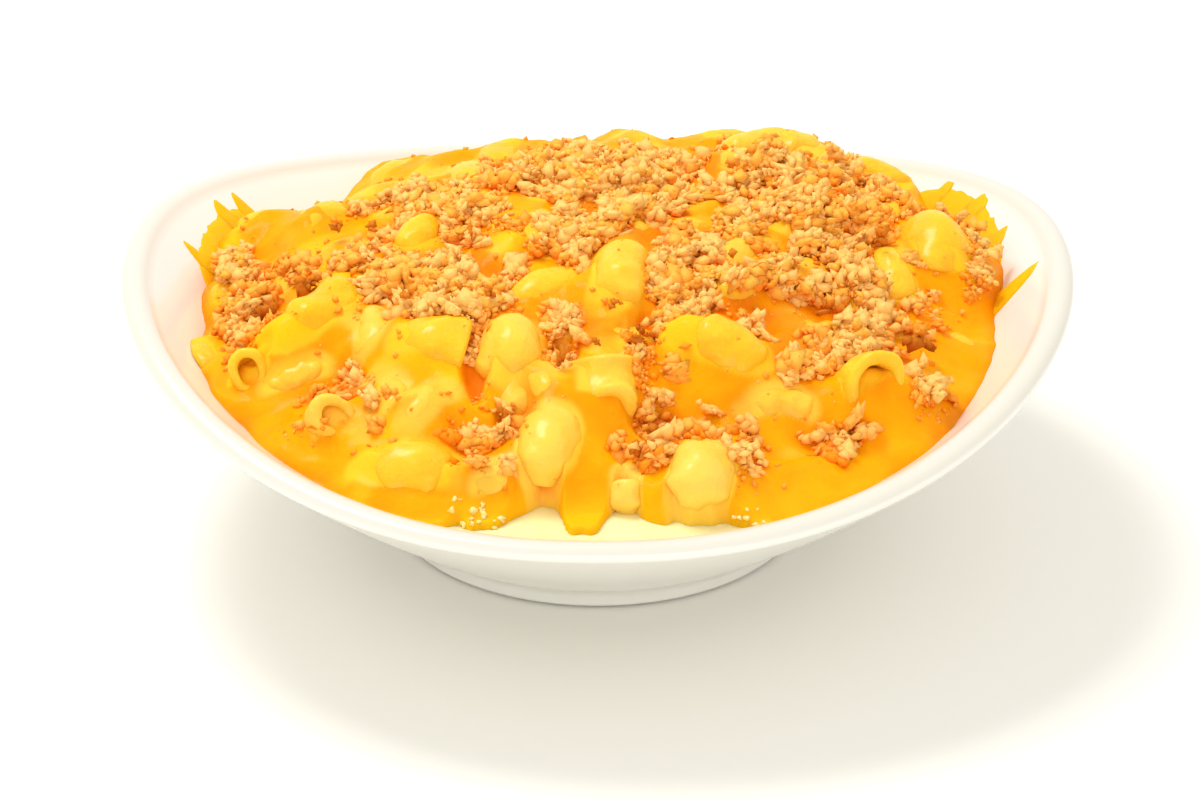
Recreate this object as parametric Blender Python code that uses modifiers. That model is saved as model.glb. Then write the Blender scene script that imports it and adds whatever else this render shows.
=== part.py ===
"""Macaroni cheese in a round stoneware bowl whose rim dips at the front and back.

The bowl is turned on a foot ring and then warped, so that its rim rises to the left and right ends.
It holds cream sauce up to a level just under the front lip, and on the sauce a heap of elbow
macaroni bound with melted cheese, which stands well above the rim in the middle.
The frame stands on the foot ring: the origin is the centre of the foot, +Z is up,
the dipped lips face -Y and +Y, and the raised ends of the rim lie along X.
"""

import bmesh
import bpy
import numpy as np
from math import cos, pi, radians, sin

MM = 0.001

# Bowl: the turned blank, seen as radius and height
BOWL_RADIUS = 100 * MM  # outside of the lip
LIP_HEIGHT = 44.4 * MM  # top of the lip at the front and back
FOOT_RADIUS = 44.6 * MM
FOOT_WIDTH = 5.6 * MM
FOOT_HEIGHT = 3.0 * MM  # how far the foot ring stands below the bowl's underside
FOOT_ROUNDING = 0.7 * MM  # how far its lower edges are drawn in
FOOT_EDGE_HEIGHT = 1.8 * MM  # where that rounding starts
FOOT_DRAFT = 1.2 * MM  # slope of the ring's inner side
FLOOR_HEIGHT = 7.0 * MM  # inside of the bowl's floor
FLOOR_RADIUS = 28 * MM
COVE = (34 * MM, 7.4 * MM)  # a point of the rounding between the floor and the wall
INNER_WALL = ((38 * MM, 8.2 * MM), (69.5 * MM, 25.0 * MM), (94.2 * MM, 43.2 * MM))  # a quadratic curve
OUTER_WALL = ((46 * MM, 4.5 * MM), (74 * MM, 22.0 * MM), (99.6 * MM, 41.5 * MM))
LIP = (  # the rounded lip, from its inner side to its outer side
    (95.4 * MM, 44.1 * MM),
    (97.2 * MM, LIP_HEIGHT),
    (99.0 * MM, 44.1 * MM),
    (BOWL_RADIUS, 42.7 * MM),
)
WALL_POINTS = 8
FINE_WALL_POINTS = 60  # for looking up the wall's radius at a height
BOWL_SEGMENTS = 64

# Warp of the blank: a saddle rim and a plan that is very slightly squared
RIM_RISE = 17.6 * MM  # how much higher the rim is at the left and right ends
RIM_RISE_POWER = 2.54
WARP_START = 8.2 * MM  # the warp fades out from the lip down to this height
WARP_POWER = 1.17
PLAN_POWER = 2.11  # exponent of the superellipse; 2 is a circle

# Contents
GAP = 0.5 * MM  # between neighbouring pieces, measured along the radius
LAYER_GAP = 0.3 * MM
SAUCE_LEVEL = 40.5 * MM
SAUCE_FOOT_HEIGHT = 8.6 * MM  # where the sauce's underside meets its sides
SAUCE_FLAT_SHARE = 0.75  # how much of that outline's radius lies flat over the floor
SAUCE_RINGS = 7
HEAP_CELLS = 46  # across the heap
DOME_BASE = 46 * MM
DOME_RISE = 24 * MM
DOME_POWER = 0.85
EDGE_HEIGHT = 45.0 * MM  # where the food meets the wall, halfway between the ends and the front
EDGE_RISE_AT_ENDS = 5.5 * MM
EDGE_DROP_AT_FRONT = 2.8 * MM
EDGE_LUMP = 3.5 * MM  # the food clings higher to the wall at the back corners
EDGE_LUMP_ANGLES = (22, 157)  # degrees round the bowl
EDGE_LUMP_WIDTH = 16  # degrees
EDGE_WAVES = ((9, 1.0, 0.5 * MM), (17, 0.0, 0.4 * MM))  # waves in a turn, phase and height
EDGE_BLEND_START = 0.9  # share of the radius from which the heap's top runs out to its edge
HEAP_LEAST_DEPTH = 1.2 * MM
HEAP_SMOOTHING = 0.4
FRONT_SETBACK = 5.5 * MM  # the heap stops short of the front lip, so the cream sauce shows
LOBES_IN_A_TURN = 24
LOBE_DEPTH = 0.45  # share of the set-back that the lobes take up

# Elbow macaroni
TUBE_RADIUS = 6.0 * MM
BEND_RADIUS = 9.5 * MM
BEND_SWEEP = radians(125)
PATH_POINTS = 9
CHEESE_DEPTH = 3.4 * MM  # the cheese between the elbows lies this far below their tops
FILLER_ELBOWS = 105
FILLER_REACH = 0.9  # share of the heap's radius that the fillers take up
FILLER_LOWEST = (-2.5 * MM, -18, -10)  # lift, pitch and roll are drawn between these and
FILLER_HIGHEST = (0.5 * MM, 18, 70)  # these
ELBOW_SPACING = 11 * MM  # least distance between the middles of two elbows
GOLDEN_ANGLE = pi * (3 - 5 ** 0.5)

# The elbows that stand out: x and y on the heap and lift of the middle in millimetres, then
# heading of the chord, pitch, and roll of the bend in degrees (0 lies flat, 90 is an arch)
CHOSEN_ELBOWS = (
    (-57.5, -28.5, 1.0, 42, 4, 10),  # long one on the left, both ends free
    (-34.0, -47.0, 0.5, 12, 6, 40),
    (-17.0, -49.0, 0.0, 80, 10, 60),
    (1.0, -56.0, 0.5, 95, -40, 60),  # on end, with its cut face up
    (3.0, -27.0, 0.5, 88, 12, 70),
    (24.0, -49.0, 1.5, -18, -8, 35),  # the fattest, in front of the middle
    (-9.5, -71.0, 0.5, 60, -20, 70),
    (19.5, -75.0, 0.5, 100, -30, 60),
    (-36.0, -76.0, -0.5, -8, 0, 15),
    (56.0, -46.0, 1.0, 118, 15, 60),  # open end to the front
    (72.0, 4.0, 2.0, 100, 20, 80),  # arch on the right
    (31.0, 50.0, 2.5, 2, 4, 20),  # on the skyline, right of the middle
    (-70.0, -41.0, -1.0, 20, 0, 10),
    (-60.0, -50.0, -0.5, 75, 10, 40),
    (-50.0, -62.0, -0.5, 70, 25, 60),
    (-39.0, -8.0, 1.0, 75, 10, 70),
    (60.0, -22.0, -0.5, 95, 10, 50),
    (-46.0, 34.0, 1.5, 30, 5, 20),
    (43.0, -62.0, -1.5, 10, 5, 20),
)


def curve_points(ends, count):
    """Points of a quadratic curve: (1-t)^2 A + 2t(1-t) B + t^2 C, with t from 0 to 1."""
    a, b, c = (np.array(point) for point in ends)
    t = np.linspace(0, 1, count)[:, None]
    return (1 - t) ** 2 * a + 2 * t * (1 - t) * b + t**2 * c


def warp(radius, angle, height):
    """The turned blank's point (radius, height) after warping, at an angle round the bowl."""
    fade = np.clip((height - WARP_START) / (LIP_HEIGHT - WARP_START), 0, None) ** WARP_POWER
    across = np.abs(np.cos(angle))
    along = np.abs(np.sin(angle))
    plan = (across**PLAN_POWER + along**PLAN_POWER) ** (-1 / PLAN_POWER)
    return radius * (1 + fade * (plan - 1)), height + fade * RIM_RISE * across**RIM_RISE_POWER


def cavity_radius(angle, height):
    """The bowl's inner radius at an angle and a height of the warped bowl."""
    wall = curve_points(INNER_WALL, FINE_WALL_POINTS)
    radii, heights = warp(wall[:, 0], angle, wall[:, 1])
    return float(np.interp(height, heights, radii))


def edge_height(angle):
    """Height at which the food's outline meets the bowl's wall."""
    front = max(-sin(angle), 0)
    height = EDGE_HEIGHT + EDGE_RISE_AT_ENDS * cos(angle) ** 2 - EDGE_DROP_AT_FRONT * front**6
    for corner in EDGE_LUMP_ANGLES:
        away = (np.degrees(angle) - corner + 180) % 360 - 180
        height += EDGE_LUMP * np.exp(-((away / EDGE_LUMP_WIDTH) ** 2))
    return height + sum(size * sin(waves * angle + phase) for waves, phase, size in EDGE_WAVES)


def edge_radius(angle):
    """Radius of the food's outline: the wall, less a set-back with three lobes at the front."""
    front = max(-sin(angle), 0)
    lobes = 1 - LOBE_DEPTH * cos(LOBES_IN_A_TURN * (angle + pi / 2)) * front**20
    return cavity_radius(angle, edge_height(angle)) - GAP - FRONT_SETBACK * front**10 * lobes


def dome(x, y):
    """The smooth form of the heap: its rim follows the wall, and its middle rises as (1-u^2)^power."""
    angle = np.arctan2(y, x)
    u = min(np.hypot(x, y) / edge_radius(angle), 1.0)
    return DOME_BASE + (edge_height(angle) - DOME_BASE) * u**2 + DOME_RISE * (1 - u**2) ** DOME_POWER


def elbow_path(x, y, lift, heading, pitch, roll):
    """Centre line of an elbow lying on the dome: an arc whose chord points along its heading."""
    step = 0.5 * MM
    slope_x = (dome(x + step, y) - dome(x - step, y)) / (2 * step)
    slope_y = (dome(x, y + step) - dome(x, y - step)) / (2 * step)
    normal = np.array((-slope_x, -slope_y, 1.0))
    normal /= np.linalg.norm(normal)
    chord = np.array((cos(radians(heading)), sin(radians(heading)), 0.0))
    chord -= normal * (chord @ normal)
    chord /= np.linalg.norm(chord)
    side = np.cross(normal, chord)
    chord, normal = (
        chord * cos(radians(pitch)) + normal * sin(radians(pitch)),
        normal * cos(radians(pitch)) - chord * sin(radians(pitch)),
    )
    bulge = side * cos(radians(roll)) + normal * sin(radians(roll))
    turn = np.linspace(-BEND_SWEEP / 2, BEND_SWEEP / 2, PATH_POINTS)[:, None]
    rise = np.cos(turn) - np.cos(turn).mean()
    middle = np.array((x, y, dome(x, y) + lift - TUBE_RADIUS))
    return middle + BEND_RADIUS * (np.sin(turn) * chord + rise * bulge)


def all_elbows():
    """The chosen elbows, then filler elbows on a sunflower spiral wherever there is still room."""
    paths = [elbow_path(x * MM, y * MM, lift * MM, *angles) for x, y, lift, *angles in CHOSEN_ELBOWS]
    centres = [path.mean(axis=0)[:2] for path in paths]
    random = np.random.default_rng(7)
    for number in range(FILLER_ELBOWS):
        angle = number * GOLDEN_ANGLE
        u = FILLER_REACH * ((number + 0.5) / FILLER_ELBOWS) ** 0.5
        x, y = u * edge_radius(angle % (2 * pi)) * np.array((cos(angle), sin(angle)))
        lift, pitch, roll = random.uniform(FILLER_LOWEST, FILLER_HIGHEST)
        heading = random.uniform(0, 360)
        if min(np.hypot(*(np.array((x, y)) - centre)) for centre in centres) < ELBOW_SPACING:
            continue
        path = elbow_path(x, y, lift, heading, pitch, roll)
        paths.append(path)
        centres.append(path.mean(axis=0)[:2])
    return paths


def heap_height(x, y, points):
    """Top of the heap: the cheese, or the top of the highest tube above this place."""
    away = (points[:, 0] - x) ** 2 + (points[:, 1] - y) ** 2
    near = away < TUBE_RADIUS**2
    cheese = dome(x, y) - CHEESE_DEPTH
    if not near.any():
        return cheese
    return max(cheese, (points[near, 2] + np.sqrt(TUBE_RADIUS**2 - away[near])).max())


def disc_place(a, b):
    """Maps a square's point to a disc, ring for ring: gives the share of the radius and the angle."""
    if abs(a) < 1e-9 and abs(b) < 1e-9:
        return 0.0, 0.0
    if abs(a) >= abs(b):
        return abs(a), (pi / 4) * (b / a) + (0 if a > 0 else pi)
    return abs(b), pi / 2 - (pi / 4) * (a / b) + (0 if b > 0 else pi)


def material(name, colour, roughness):
    """An opaque Principled material."""
    made = bpy.data.materials.new(name)
    made.use_nodes = True
    shader = made.node_tree.nodes["Principled BSDF"]
    shader.inputs["Base Color"].default_value = (*colour, 1)
    shader.inputs["Roughness"].default_value = roughness
    return made


def add_object(name, mesh, collection, surface):
    """Links a mesh under a node's name, with its one material."""
    mesh.name = name
    mesh.materials.clear()
    mesh.materials.append(surface)
    made = bpy.data.objects.new(name, mesh)
    collection.objects.link(made)
    return made


def bowl_profile():
    """The blank's section: from the middle of the floor, over the lip and down to under the foot."""
    floor = [(0, FLOOR_HEIGHT), (FLOOR_RADIUS, FLOOR_HEIGHT)]
    inside = list(curve_points(INNER_WALL, WALL_POINTS))
    outside = list(curve_points(OUTER_WALL, WALL_POINTS))[::-1]
    foot = [
        (FOOT_RADIUS, FOOT_EDGE_HEIGHT),
        (FOOT_RADIUS - FOOT_ROUNDING, 0),
        (FOOT_RADIUS - FOOT_WIDTH, 0),
        (FOOT_RADIUS - FOOT_WIDTH - FOOT_DRAFT, FOOT_HEIGHT),
        (0, FOOT_HEIGHT),
    ]
    return floor + [COVE] + inside + list(LIP) + outside + foot


def make_bowl(collection, surface):
    """Turns the profile with a Screw modifier, then warps the turned blank."""
    points = bowl_profile()
    section = bpy.data.meshes.new("bowl_section")
    vertices = [(radius, 0, height) for radius, height in points]
    section.from_pydata(vertices, [(i, i + 1) for i in range(len(points) - 1)], [])
    blank = bpy.data.objects.new("bowl_blank", section)
    collection.objects.link(blank)
    screw = blank.modifiers.new("Turn", "SCREW")
    screw.steps = BOWL_SEGMENTS
    screw.render_steps = BOWL_SEGMENTS
    screw.use_merge_vertices = True
    screw.merge_threshold = 0.05 * MM
    depsgraph = bpy.context.evaluated_depsgraph_get()
    turned = bpy.data.meshes.new_from_object(blank.evaluated_get(depsgraph))
    bpy.data.objects.remove(blank)
    for vertex in turned.vertices:
        x, y, z = vertex.co
        angle = np.arctan2(y, x)
        radius, height = warp(np.hypot(x, y), angle, z)
        vertex.co = (radius * cos(angle), radius * sin(angle), height)
    bowl = add_object("bowl", turned, collection, surface)
    turned.shade_smooth()
    return bowl


def make_sauce(collection, surface):
    """The cream sauce fills the bowl from its floor up to a level surface."""
    form = bmesh.new()
    bottom = FLOOR_HEIGHT + LAYER_GAP
    previous = None
    for height in np.linspace(SAUCE_FOOT_HEIGHT, SAUCE_LEVEL, SAUCE_RINGS):
        ring = []
        for step in range(BOWL_SEGMENTS):
            angle = 2 * pi * step / BOWL_SEGMENTS
            radius = cavity_radius(angle, height) - GAP
            ring.append(form.verts.new((radius * cos(angle), radius * sin(angle), height)))
        if previous is None:
            centre = form.verts.new((0, 0, bottom))
            flat = SAUCE_FLAT_SHARE
            inner = [form.verts.new((v.co.x * flat, v.co.y * flat, bottom)) for v in ring]
            for i in range(BOWL_SEGMENTS):
                form.faces.new((centre, inner[i - 1], inner[i]))
            previous = inner
        for i in range(BOWL_SEGMENTS):
            form.faces.new((previous[i - 1], previous[i], ring[i], ring[i - 1]))
        previous = ring
    form.faces.new(previous)
    bmesh.ops.recalc_face_normals(form, faces=form.faces)
    mesh = bpy.data.meshes.new("cream_sauce")
    form.to_mesh(mesh)
    form.free()
    return add_object("cream_sauce", mesh, collection, surface)


def make_heap(collection, surface):
    """A grid mapped to the food's outline, raised to the elbows' tops, with sides and a flat base."""
    points = np.concatenate(all_elbows())
    base = SAUCE_LEVEL + LAYER_GAP
    form = bmesh.new()
    bmesh.ops.create_grid(form, x_segments=HEAP_CELLS, y_segments=HEAP_CELLS, size=1)
    for vertex in form.verts:
        u, angle = disc_place(vertex.co.x, vertex.co.y)
        radius = u * edge_radius(angle)
        x, y = radius * cos(angle), radius * sin(angle)
        top = heap_height(x, y, points)
        edge = edge_height(angle)
        blend = np.clip((u - EDGE_BLEND_START) / (1 - EDGE_BLEND_START), 0, 1) ** 2
        vertex.co = (x, y, max(top + (edge - top) * blend, base + HEAP_LEAST_DEPTH))
    inside = [vertex for vertex in form.verts if not vertex.is_boundary]
    bmesh.ops.smooth_vert(form, verts=inside, factor=HEAP_SMOOTHING, use_axis_z=True)
    rim = [edge for edge in form.edges if edge.is_boundary]
    skirt = bmesh.ops.extrude_edge_only(form, edges=rim)["geom"]
    for vertex in (item for item in skirt if isinstance(item, bmesh.types.BMVert)):
        angle = np.arctan2(vertex.co.y, vertex.co.x)
        outline = np.hypot(vertex.co.x, vertex.co.y)
        radius = min(cavity_radius(angle, base) - GAP, outline)
        vertex.co = (radius * cos(angle), radius * sin(angle), base)
    bmesh.ops.edgeloop_fill(form, edges=[edge for edge in form.edges if edge.is_boundary])
    bmesh.ops.recalc_face_normals(form, faces=form.faces)
    mesh = bpy.data.meshes.new("macaroni_heap")
    form.to_mesh(mesh)
    form.free()
    return add_object("macaroni_heap", mesh, collection, surface)


def main():
    for item in list(bpy.data.objects):
        bpy.data.objects.remove(item)
    dish = bpy.data.collections.new("macaroni_cheese")
    bpy.context.scene.collection.children.link(dish)
    make_bowl(dish, material("glazed_stoneware", (0.90, 0.87, 0.78), 0.22))
    make_sauce(dish, material("cream_sauce", (0.98, 0.86, 0.42), 0.35))
    make_heap(dish, material("macaroni_and_cheese", (0.98, 0.52, 0.07), 0.40))


main()
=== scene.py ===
# %% [markdown]
# # Macaroni and cheese in a stoneware bowl
# The dish is a round bowl that a potter turns on a wheel and then bends while the clay is soft, so that
# the rim dips at the front and back. It holds cream sauce, and on it a heap of elbow macaroni under
# melted cheese and toasted breadcrumbs. The solid model gives the real sizes; this script gives the
# looks. The frame comes first, because every piece below is placed in it.

import bpy
import numpy as np
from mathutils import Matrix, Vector


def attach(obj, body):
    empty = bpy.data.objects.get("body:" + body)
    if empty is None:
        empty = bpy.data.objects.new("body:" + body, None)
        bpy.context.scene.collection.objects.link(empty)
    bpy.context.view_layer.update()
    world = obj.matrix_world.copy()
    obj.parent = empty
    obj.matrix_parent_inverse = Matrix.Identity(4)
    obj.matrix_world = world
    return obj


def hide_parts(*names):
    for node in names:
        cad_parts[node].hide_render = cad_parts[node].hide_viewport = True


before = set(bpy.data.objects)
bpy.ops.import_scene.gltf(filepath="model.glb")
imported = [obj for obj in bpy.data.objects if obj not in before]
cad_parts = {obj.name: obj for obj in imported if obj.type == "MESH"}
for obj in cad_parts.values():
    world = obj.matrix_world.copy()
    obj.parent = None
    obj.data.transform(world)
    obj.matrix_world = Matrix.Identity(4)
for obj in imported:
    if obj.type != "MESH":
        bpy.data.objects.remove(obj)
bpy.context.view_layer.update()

MM = 0.001

# %% [markdown]
# Every new piece is a surface: a grid of points worked out by a formula, joined by faces. Blender could
# build the grid face by face, but whole arrays are quicker and keep the formula in one place. These
# helpers turn arrays into a mesh, and give its points named values that a material can read.


# %% Arrays to meshes
def grid_faces(rows, columns, close_rows=False, close_columns=False):
    """Quads between neighbours of a grid of points; a closed direction joins its last line to its first."""
    row, column = np.meshgrid(
        np.arange(rows if close_rows else rows - 1),
        np.arange(columns if close_columns else columns - 1),
        indexing="ij",
    )
    below, right = (row + 1) % rows, (column + 1) % columns
    corners = (
        row * columns + column,
        row * columns + right,
        below * columns + right,
        below * columns + column,
    )
    return np.stack(corners, -1).reshape(-1, 4)


def make_mesh(name, points, face_sets, surface, values=None):
    """A smooth-shaded object from points, sets of faces of one size each, and named point values."""
    points = np.asarray(points, dtype=np.float32).reshape(-1, 3)
    mesh = bpy.data.meshes.new(name)
    mesh.vertices.add(len(points))
    mesh.vertices.foreach_set("co", points.ravel())
    corners = np.concatenate([faces.ravel() for faces in face_sets]).astype(np.int32)
    sizes = np.concatenate([np.full(len(faces), faces.shape[1]) for faces in face_sets])
    starts = np.concatenate(([0], np.cumsum(sizes)[:-1])).astype(np.int32)
    mesh.loops.add(len(corners))
    mesh.loops.foreach_set("vertex_index", corners)
    mesh.polygons.add(len(sizes))
    mesh.polygons.foreach_set("loop_start", starts)
    mesh.polygons.foreach_set("use_smooth", np.full(len(sizes), True))
    mesh.update(calc_edges=True)
    for key, value in (values or {}).items():
        layer = mesh.attributes.new(key, "FLOAT", "POINT")
        layer.data.foreach_set("value", np.asarray(value, dtype=np.float32).ravel())
    mesh.materials.append(surface)
    made = bpy.data.objects.new(name, mesh)
    bpy.context.scene.collection.objects.link(made)
    print(name, len(points), "points,", int((sizes - 2).sum()), "triangles")
    return made


def unit(vectors):
    """The vectors divided by their own lengths."""
    return vectors / np.linalg.norm(vectors, axis=-1, keepdims=True)


def turned_faces(rows, columns):
    """Quads between rings that run from the top's middle down to the underside's, and a fan at each end."""
    around = np.arange(columns)
    following = np.roll(around, -1)
    last = (rows - 1) * columns
    top_pole = np.full(columns, rows * columns)
    fans = np.concatenate(
        (
            np.stack((top_pole, around, following), -1),
            np.stack((top_pole + 1, last + following, last + around), -1),
        )
    )
    return [grid_faces(rows, columns, close_columns=True)[:, ::-1], fans]


# %% [markdown]
# Food is never a clean shape. Two kinds of unevenness are enough here: waves through space, which bend
# a finished mesh gently, and clouds on a raster, which lump a surface that is worked out as heights.


# %% Waves
def waves(points, size, seed, count=10):
    """Smooth noise in space, about -1 to 1: the sum of chance sine waves over the root of their number."""
    random = np.random.default_rng(seed)
    ways = unit(random.normal(size=(count, 3))) * random.uniform(0.7, 1.4, (count, 1))
    phases = random.uniform(0, 2 * np.pi, count)
    return np.sin(points @ ways.T * (2 * np.pi / size) + phases).sum(-1) / count**0.5


def step(value, start, end):
    """0 up to start, 1 from end on, and a smooth S between them."""
    t = np.clip((value - start) / (end - start), 0, 1)
    return t * t * (3 - 2 * t)


# %% [markdown]
# The bowl's own form: two quadratic curves for the wall, and the warp that bends the turned blank.
# The rim rises by a power of the cosine round the bowl, so it stays low over a long stretch at the
# front and back. The same numbers made the solid, so the fine surface lies on it.

# %% The bowl's form
LIP_HEIGHT = 44.4 * MM
FLOOR_HEIGHT = 7.0 * MM
INNER_WALL = ((38.0, 8.2), (69.5, 25.0), (94.2, 43.2))
OUTER_WALL = ((46.0, 4.5), (74.0, 22.0), (99.6, 41.5))
RIM_RISE = 17.6 * MM
RIM_RISE_POWER = 2.54
WARP_START = 8.2 * MM
WARP_POWER = 1.17
PLAN_POWER = 2.11


def curve(ends, t):
    """Points of a quadratic curve in millimetres: (1-t)^2 A + 2t(1-t) B + t^2 C."""
    a, b, c = (np.array(point) * MM for point in ends)
    t = np.asarray(t)[..., None]
    return (1 - t) ** 2 * a + 2 * t * (1 - t) * b + t**2 * c


def warp(radius, angle, height):
    """A point of the turned blank after bending: raised by cos^power, and squared a little in plan."""
    fade = np.clip((height - WARP_START) / (LIP_HEIGHT - WARP_START), 0, None) ** WARP_POWER
    across, along = np.abs(np.cos(angle)), np.abs(np.sin(angle))
    plan = (across**PLAN_POWER + along**PLAN_POWER) ** (-1 / PLAN_POWER)
    return radius * (1 + fade * (plan - 1)), height + fade * RIM_RISE * across**RIM_RISE_POWER


def on_wall(angle, known, given, wanted):
    """Finds the inner wall's point by halving: its radius (0) or height (1) is given, the other is wanted."""
    angle, known = np.broadcast_arrays(np.asarray(angle, float), np.asarray(known, float))
    low, high = np.zeros(angle.shape), np.full(angle.shape, 1.05)
    for _ in range(24):
        middle = (low + high) / 2
        wall = curve(INNER_WALL, middle)
        below = warp(wall[..., 0], angle, wall[..., 1])[given] < known
        low, high = np.where(below, middle, low), np.where(below, high, middle)
    wall = curve(INNER_WALL, low)
    return warp(wall[..., 0], angle, wall[..., 1])[wanted]


def cavity_radius(angle, height):
    """Inner radius of the bowl at an angle and a height."""
    return on_wall(angle, height, 1, 0)


SAUCE_LEVEL = 40.5 * MM
print("inner radius at the sauce level:", cavity_radius([0, np.pi / 2], SAUCE_LEVEL))

# %% [markdown]
# A material is a Principled shader with nodes before it. What several foods share, such as a mottled
# colour and a fine bumpy skin, is one node group with named inputs, so that each material only sets
# its own colours and sizes. Patterns read the object's own coordinates, so they stay on the food.


# %% Node helpers
def new_material(name, **settings):
    """A material with one Principled shader; settings are the shader's own sockets."""
    made = bpy.data.materials.new(name)
    made.use_nodes = True
    shader = made.node_tree.nodes["Principled BSDF"]
    for socket, value in settings.items():
        shader.inputs[socket.replace("_", " ")].default_value = value
    return made, made.node_tree, shader


def put(tree, socket, value):
    """Links a socket to another socket, or sets it to a plain value."""
    if isinstance(value, bpy.types.NodeSocket):
        tree.links.new(value, socket)
    else:
        socket.default_value = value


def add_node(tree, kind, **inputs):
    """A node of one kind whose named input sockets are set to a value or linked from a socket."""
    node = tree.nodes.new("ShaderNode" + kind)
    set_inputs(tree, node, inputs)
    return node


def set_inputs(tree, node, inputs):
    """Sets or links the named inputs of a node."""
    for key, value in inputs.items():
        put(tree, node.inputs[key.replace("_", " ")], value)


def mix_colour(tree, factor, first, second):
    """A colour between two, by a factor socket or number."""
    node = tree.nodes.new("ShaderNodeMix")
    node.data_type = "RGBA"
    for index, value in ((0, factor), (6, first), (7, second)):
        put(tree, node.inputs[index], value)
    return node.outputs[2]


def calculate(tree, operation, *values):
    """A Math node on sockets or numbers."""
    node = tree.nodes.new("ShaderNodeMath")
    node.operation = operation
    for socket, value in zip(node.inputs, values):
        put(tree, socket, value)
    return node.outputs[0]


def point_value(tree, name):
    """The value that a mesh's points carry under a name."""
    node = tree.nodes.new("ShaderNodeAttribute")
    node.attribute_name = name
    return node.outputs["Fac"]


def new_group(name, inputs, outputs):
    """An empty shader node group with the given sockets; each is a name, a type and a default."""
    group = bpy.data.node_groups.new(name, "ShaderNodeTree")
    for socket, kind, value in inputs:
        made = group.interface.new_socket(socket, in_out="INPUT", socket_type="NodeSocket" + kind)
        made.default_value = value
    for socket, kind in outputs:
        group.interface.new_socket(socket, in_out="OUTPUT", socket_type="NodeSocket" + kind)
    return group, group.nodes.new("NodeGroupInput").outputs, group.nodes.new("NodeGroupOutput")


def use_group(tree, group, **inputs):
    """The group placed in a material with its own values."""
    node = tree.nodes.new("ShaderNodeGroup")
    node.node_tree = group
    set_inputs(tree, node, inputs)
    return node.outputs


# %% [markdown]
# The shared group. A slow noise moves the colour between two tones, a quick one adds flecks, and the
# sum of two noises is a height for the bump, so the skin looks wet and slightly grainy, not like wax.

# %% The mottled skin group
skin, skin_in, skin_out = new_group(
    "mottled_skin",
    (
        ("Tone A", "Color", (1, 1, 1, 1)),
        ("Tone B", "Color", (1, 1, 1, 1)),
        ("Fleck", "Color", (1, 1, 1, 1)),
        ("Patch Scale", "Float", 120.0),
        ("Grain Scale", "Float", 900.0),
        ("Fleck Amount", "Float", 0.2),
        ("Roughness", "Float", 0.4),
    ),
    (("Color", "Color"), ("Height", "Float"), ("Roughness", "Float")),
)
place = add_node(skin, "TexCoord").outputs["Object"]
patches = add_node(skin, "TexNoise", Vector=place, Scale=skin_in["Patch Scale"], Detail=3.0)
grain = add_node(skin, "TexNoise", Vector=place, Scale=skin_in["Grain Scale"], Detail=4.0)
# noise stays near a half: a multiply and an add stretch its middle range over 0 to 1
spread = calculate(skin, "MULTIPLY_ADD", patches.outputs["Fac"], 2.4, -0.7)
spread = add_node(skin, "Clamp", Value=spread).outputs[0]
tone = mix_colour(skin, spread, skin_in["Tone A"], skin_in["Tone B"])
flecks = calculate(skin, "MULTIPLY_ADD", grain.outputs["Fac"], 5.0, -2.9)
flecks = add_node(skin, "Clamp", Value=flecks).outputs[0]
flecks = calculate(skin, "MULTIPLY", flecks, skin_in["Fleck Amount"])
skin.links.new(mix_colour(skin, flecks, tone, skin_in["Fleck"]), skin_out.inputs["Color"])
height = calculate(skin, "MULTIPLY_ADD", grain.outputs["Fac"], 0.35, patches.outputs["Fac"])
skin.links.new(height, skin_out.inputs["Height"])
rough = calculate(skin, "MULTIPLY_ADD", grain.outputs["Fac"], 0.22, -0.11)
skin.links.new(calculate(skin, "ADD", rough, skin_in["Roughness"]), skin_out.inputs["Roughness"])
print("mottled_skin:", len(skin.nodes), "nodes")


# %% Linking the skin
def wear_skin(tree, shader, bump_strength, bump_depth, **looks):
    """Places the mottled skin in a material, links its roughness and bump, and gives its colour."""
    worn = use_group(tree, skin, **looks)
    tree.links.new(worn["Roughness"], shader.inputs["Roughness"])
    bump = add_node(tree, "Bump", Strength=bump_strength, Distance=bump_depth, Height=worn["Height"])
    tree.links.new(bump.outputs[0], shader.inputs["Normal"])
    return worn["Color"]


# %% [markdown]
# The bowl is white stoneware under a clear, slightly warm glaze. The glaze runs thin over the lip, so
# the clay's warmer colour shows there, and a little of it shows all over the outside; the same darker,
# warmer colour also paints shade on the lip and the outer wall. One smooth turned surface carries it:
# the section goes from the middle of the floor, over the lip and down to the foot, and is swept round
# and bent.

# %% Bowl material
glaze, tree, shader = new_material(
    "glazed_stoneware", Roughness=0.24, IOR=1.5, Coat_Weight=0.4, Coat_Roughness=0.1
)
look = use_group(
    tree,
    skin,
    Tone_A=(0.87, 0.86, 0.79, 1),
    Tone_B=(0.89, 0.88, 0.82, 1),
    Fleck=(0.85, 0.82, 0.74, 1),
    Patch_Scale=28.0,
    Grain_Scale=420.0,
    Fleck_Amount=0.02,
)
# thin glaze and painted shade: the lip, and a quarter of the outside, take a darker clay colour
thin = point_value(tree, "thin_glaze_and_shade")
tree.links.new(mix_colour(tree, thin, look["Color"], (0.74, 0.70, 0.60, 1)), shader.inputs["Base Color"])

# %% Bowl mesh
BOWL_COLUMNS = 288
LIP = ((94.2, 43.2), (96.4, 45.5), (101.9, 44.2), (99.6, 41.5))
COVE = ((26.0, 7.0), (35.4, 7.0), (38.0, 8.2))
UNDERSIDE = ((38.2, 1.2), (37.6, 2.6), (36.0, 3.0), (24.0, 3.0), (12.0, 3.0))
# share of the darker clay colour over the outside: thin glaze and painted shade
THIN_GLAZE_AND_SHADE_OUTSIDE = 0.25
FOOT = ((45.2, 3.2), (44.6, 2.2), (44.6, 1.0), (44.3, 0.3), (43.7, 0.0), (39.4, 0.0), (38.7, 0.3))


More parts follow.
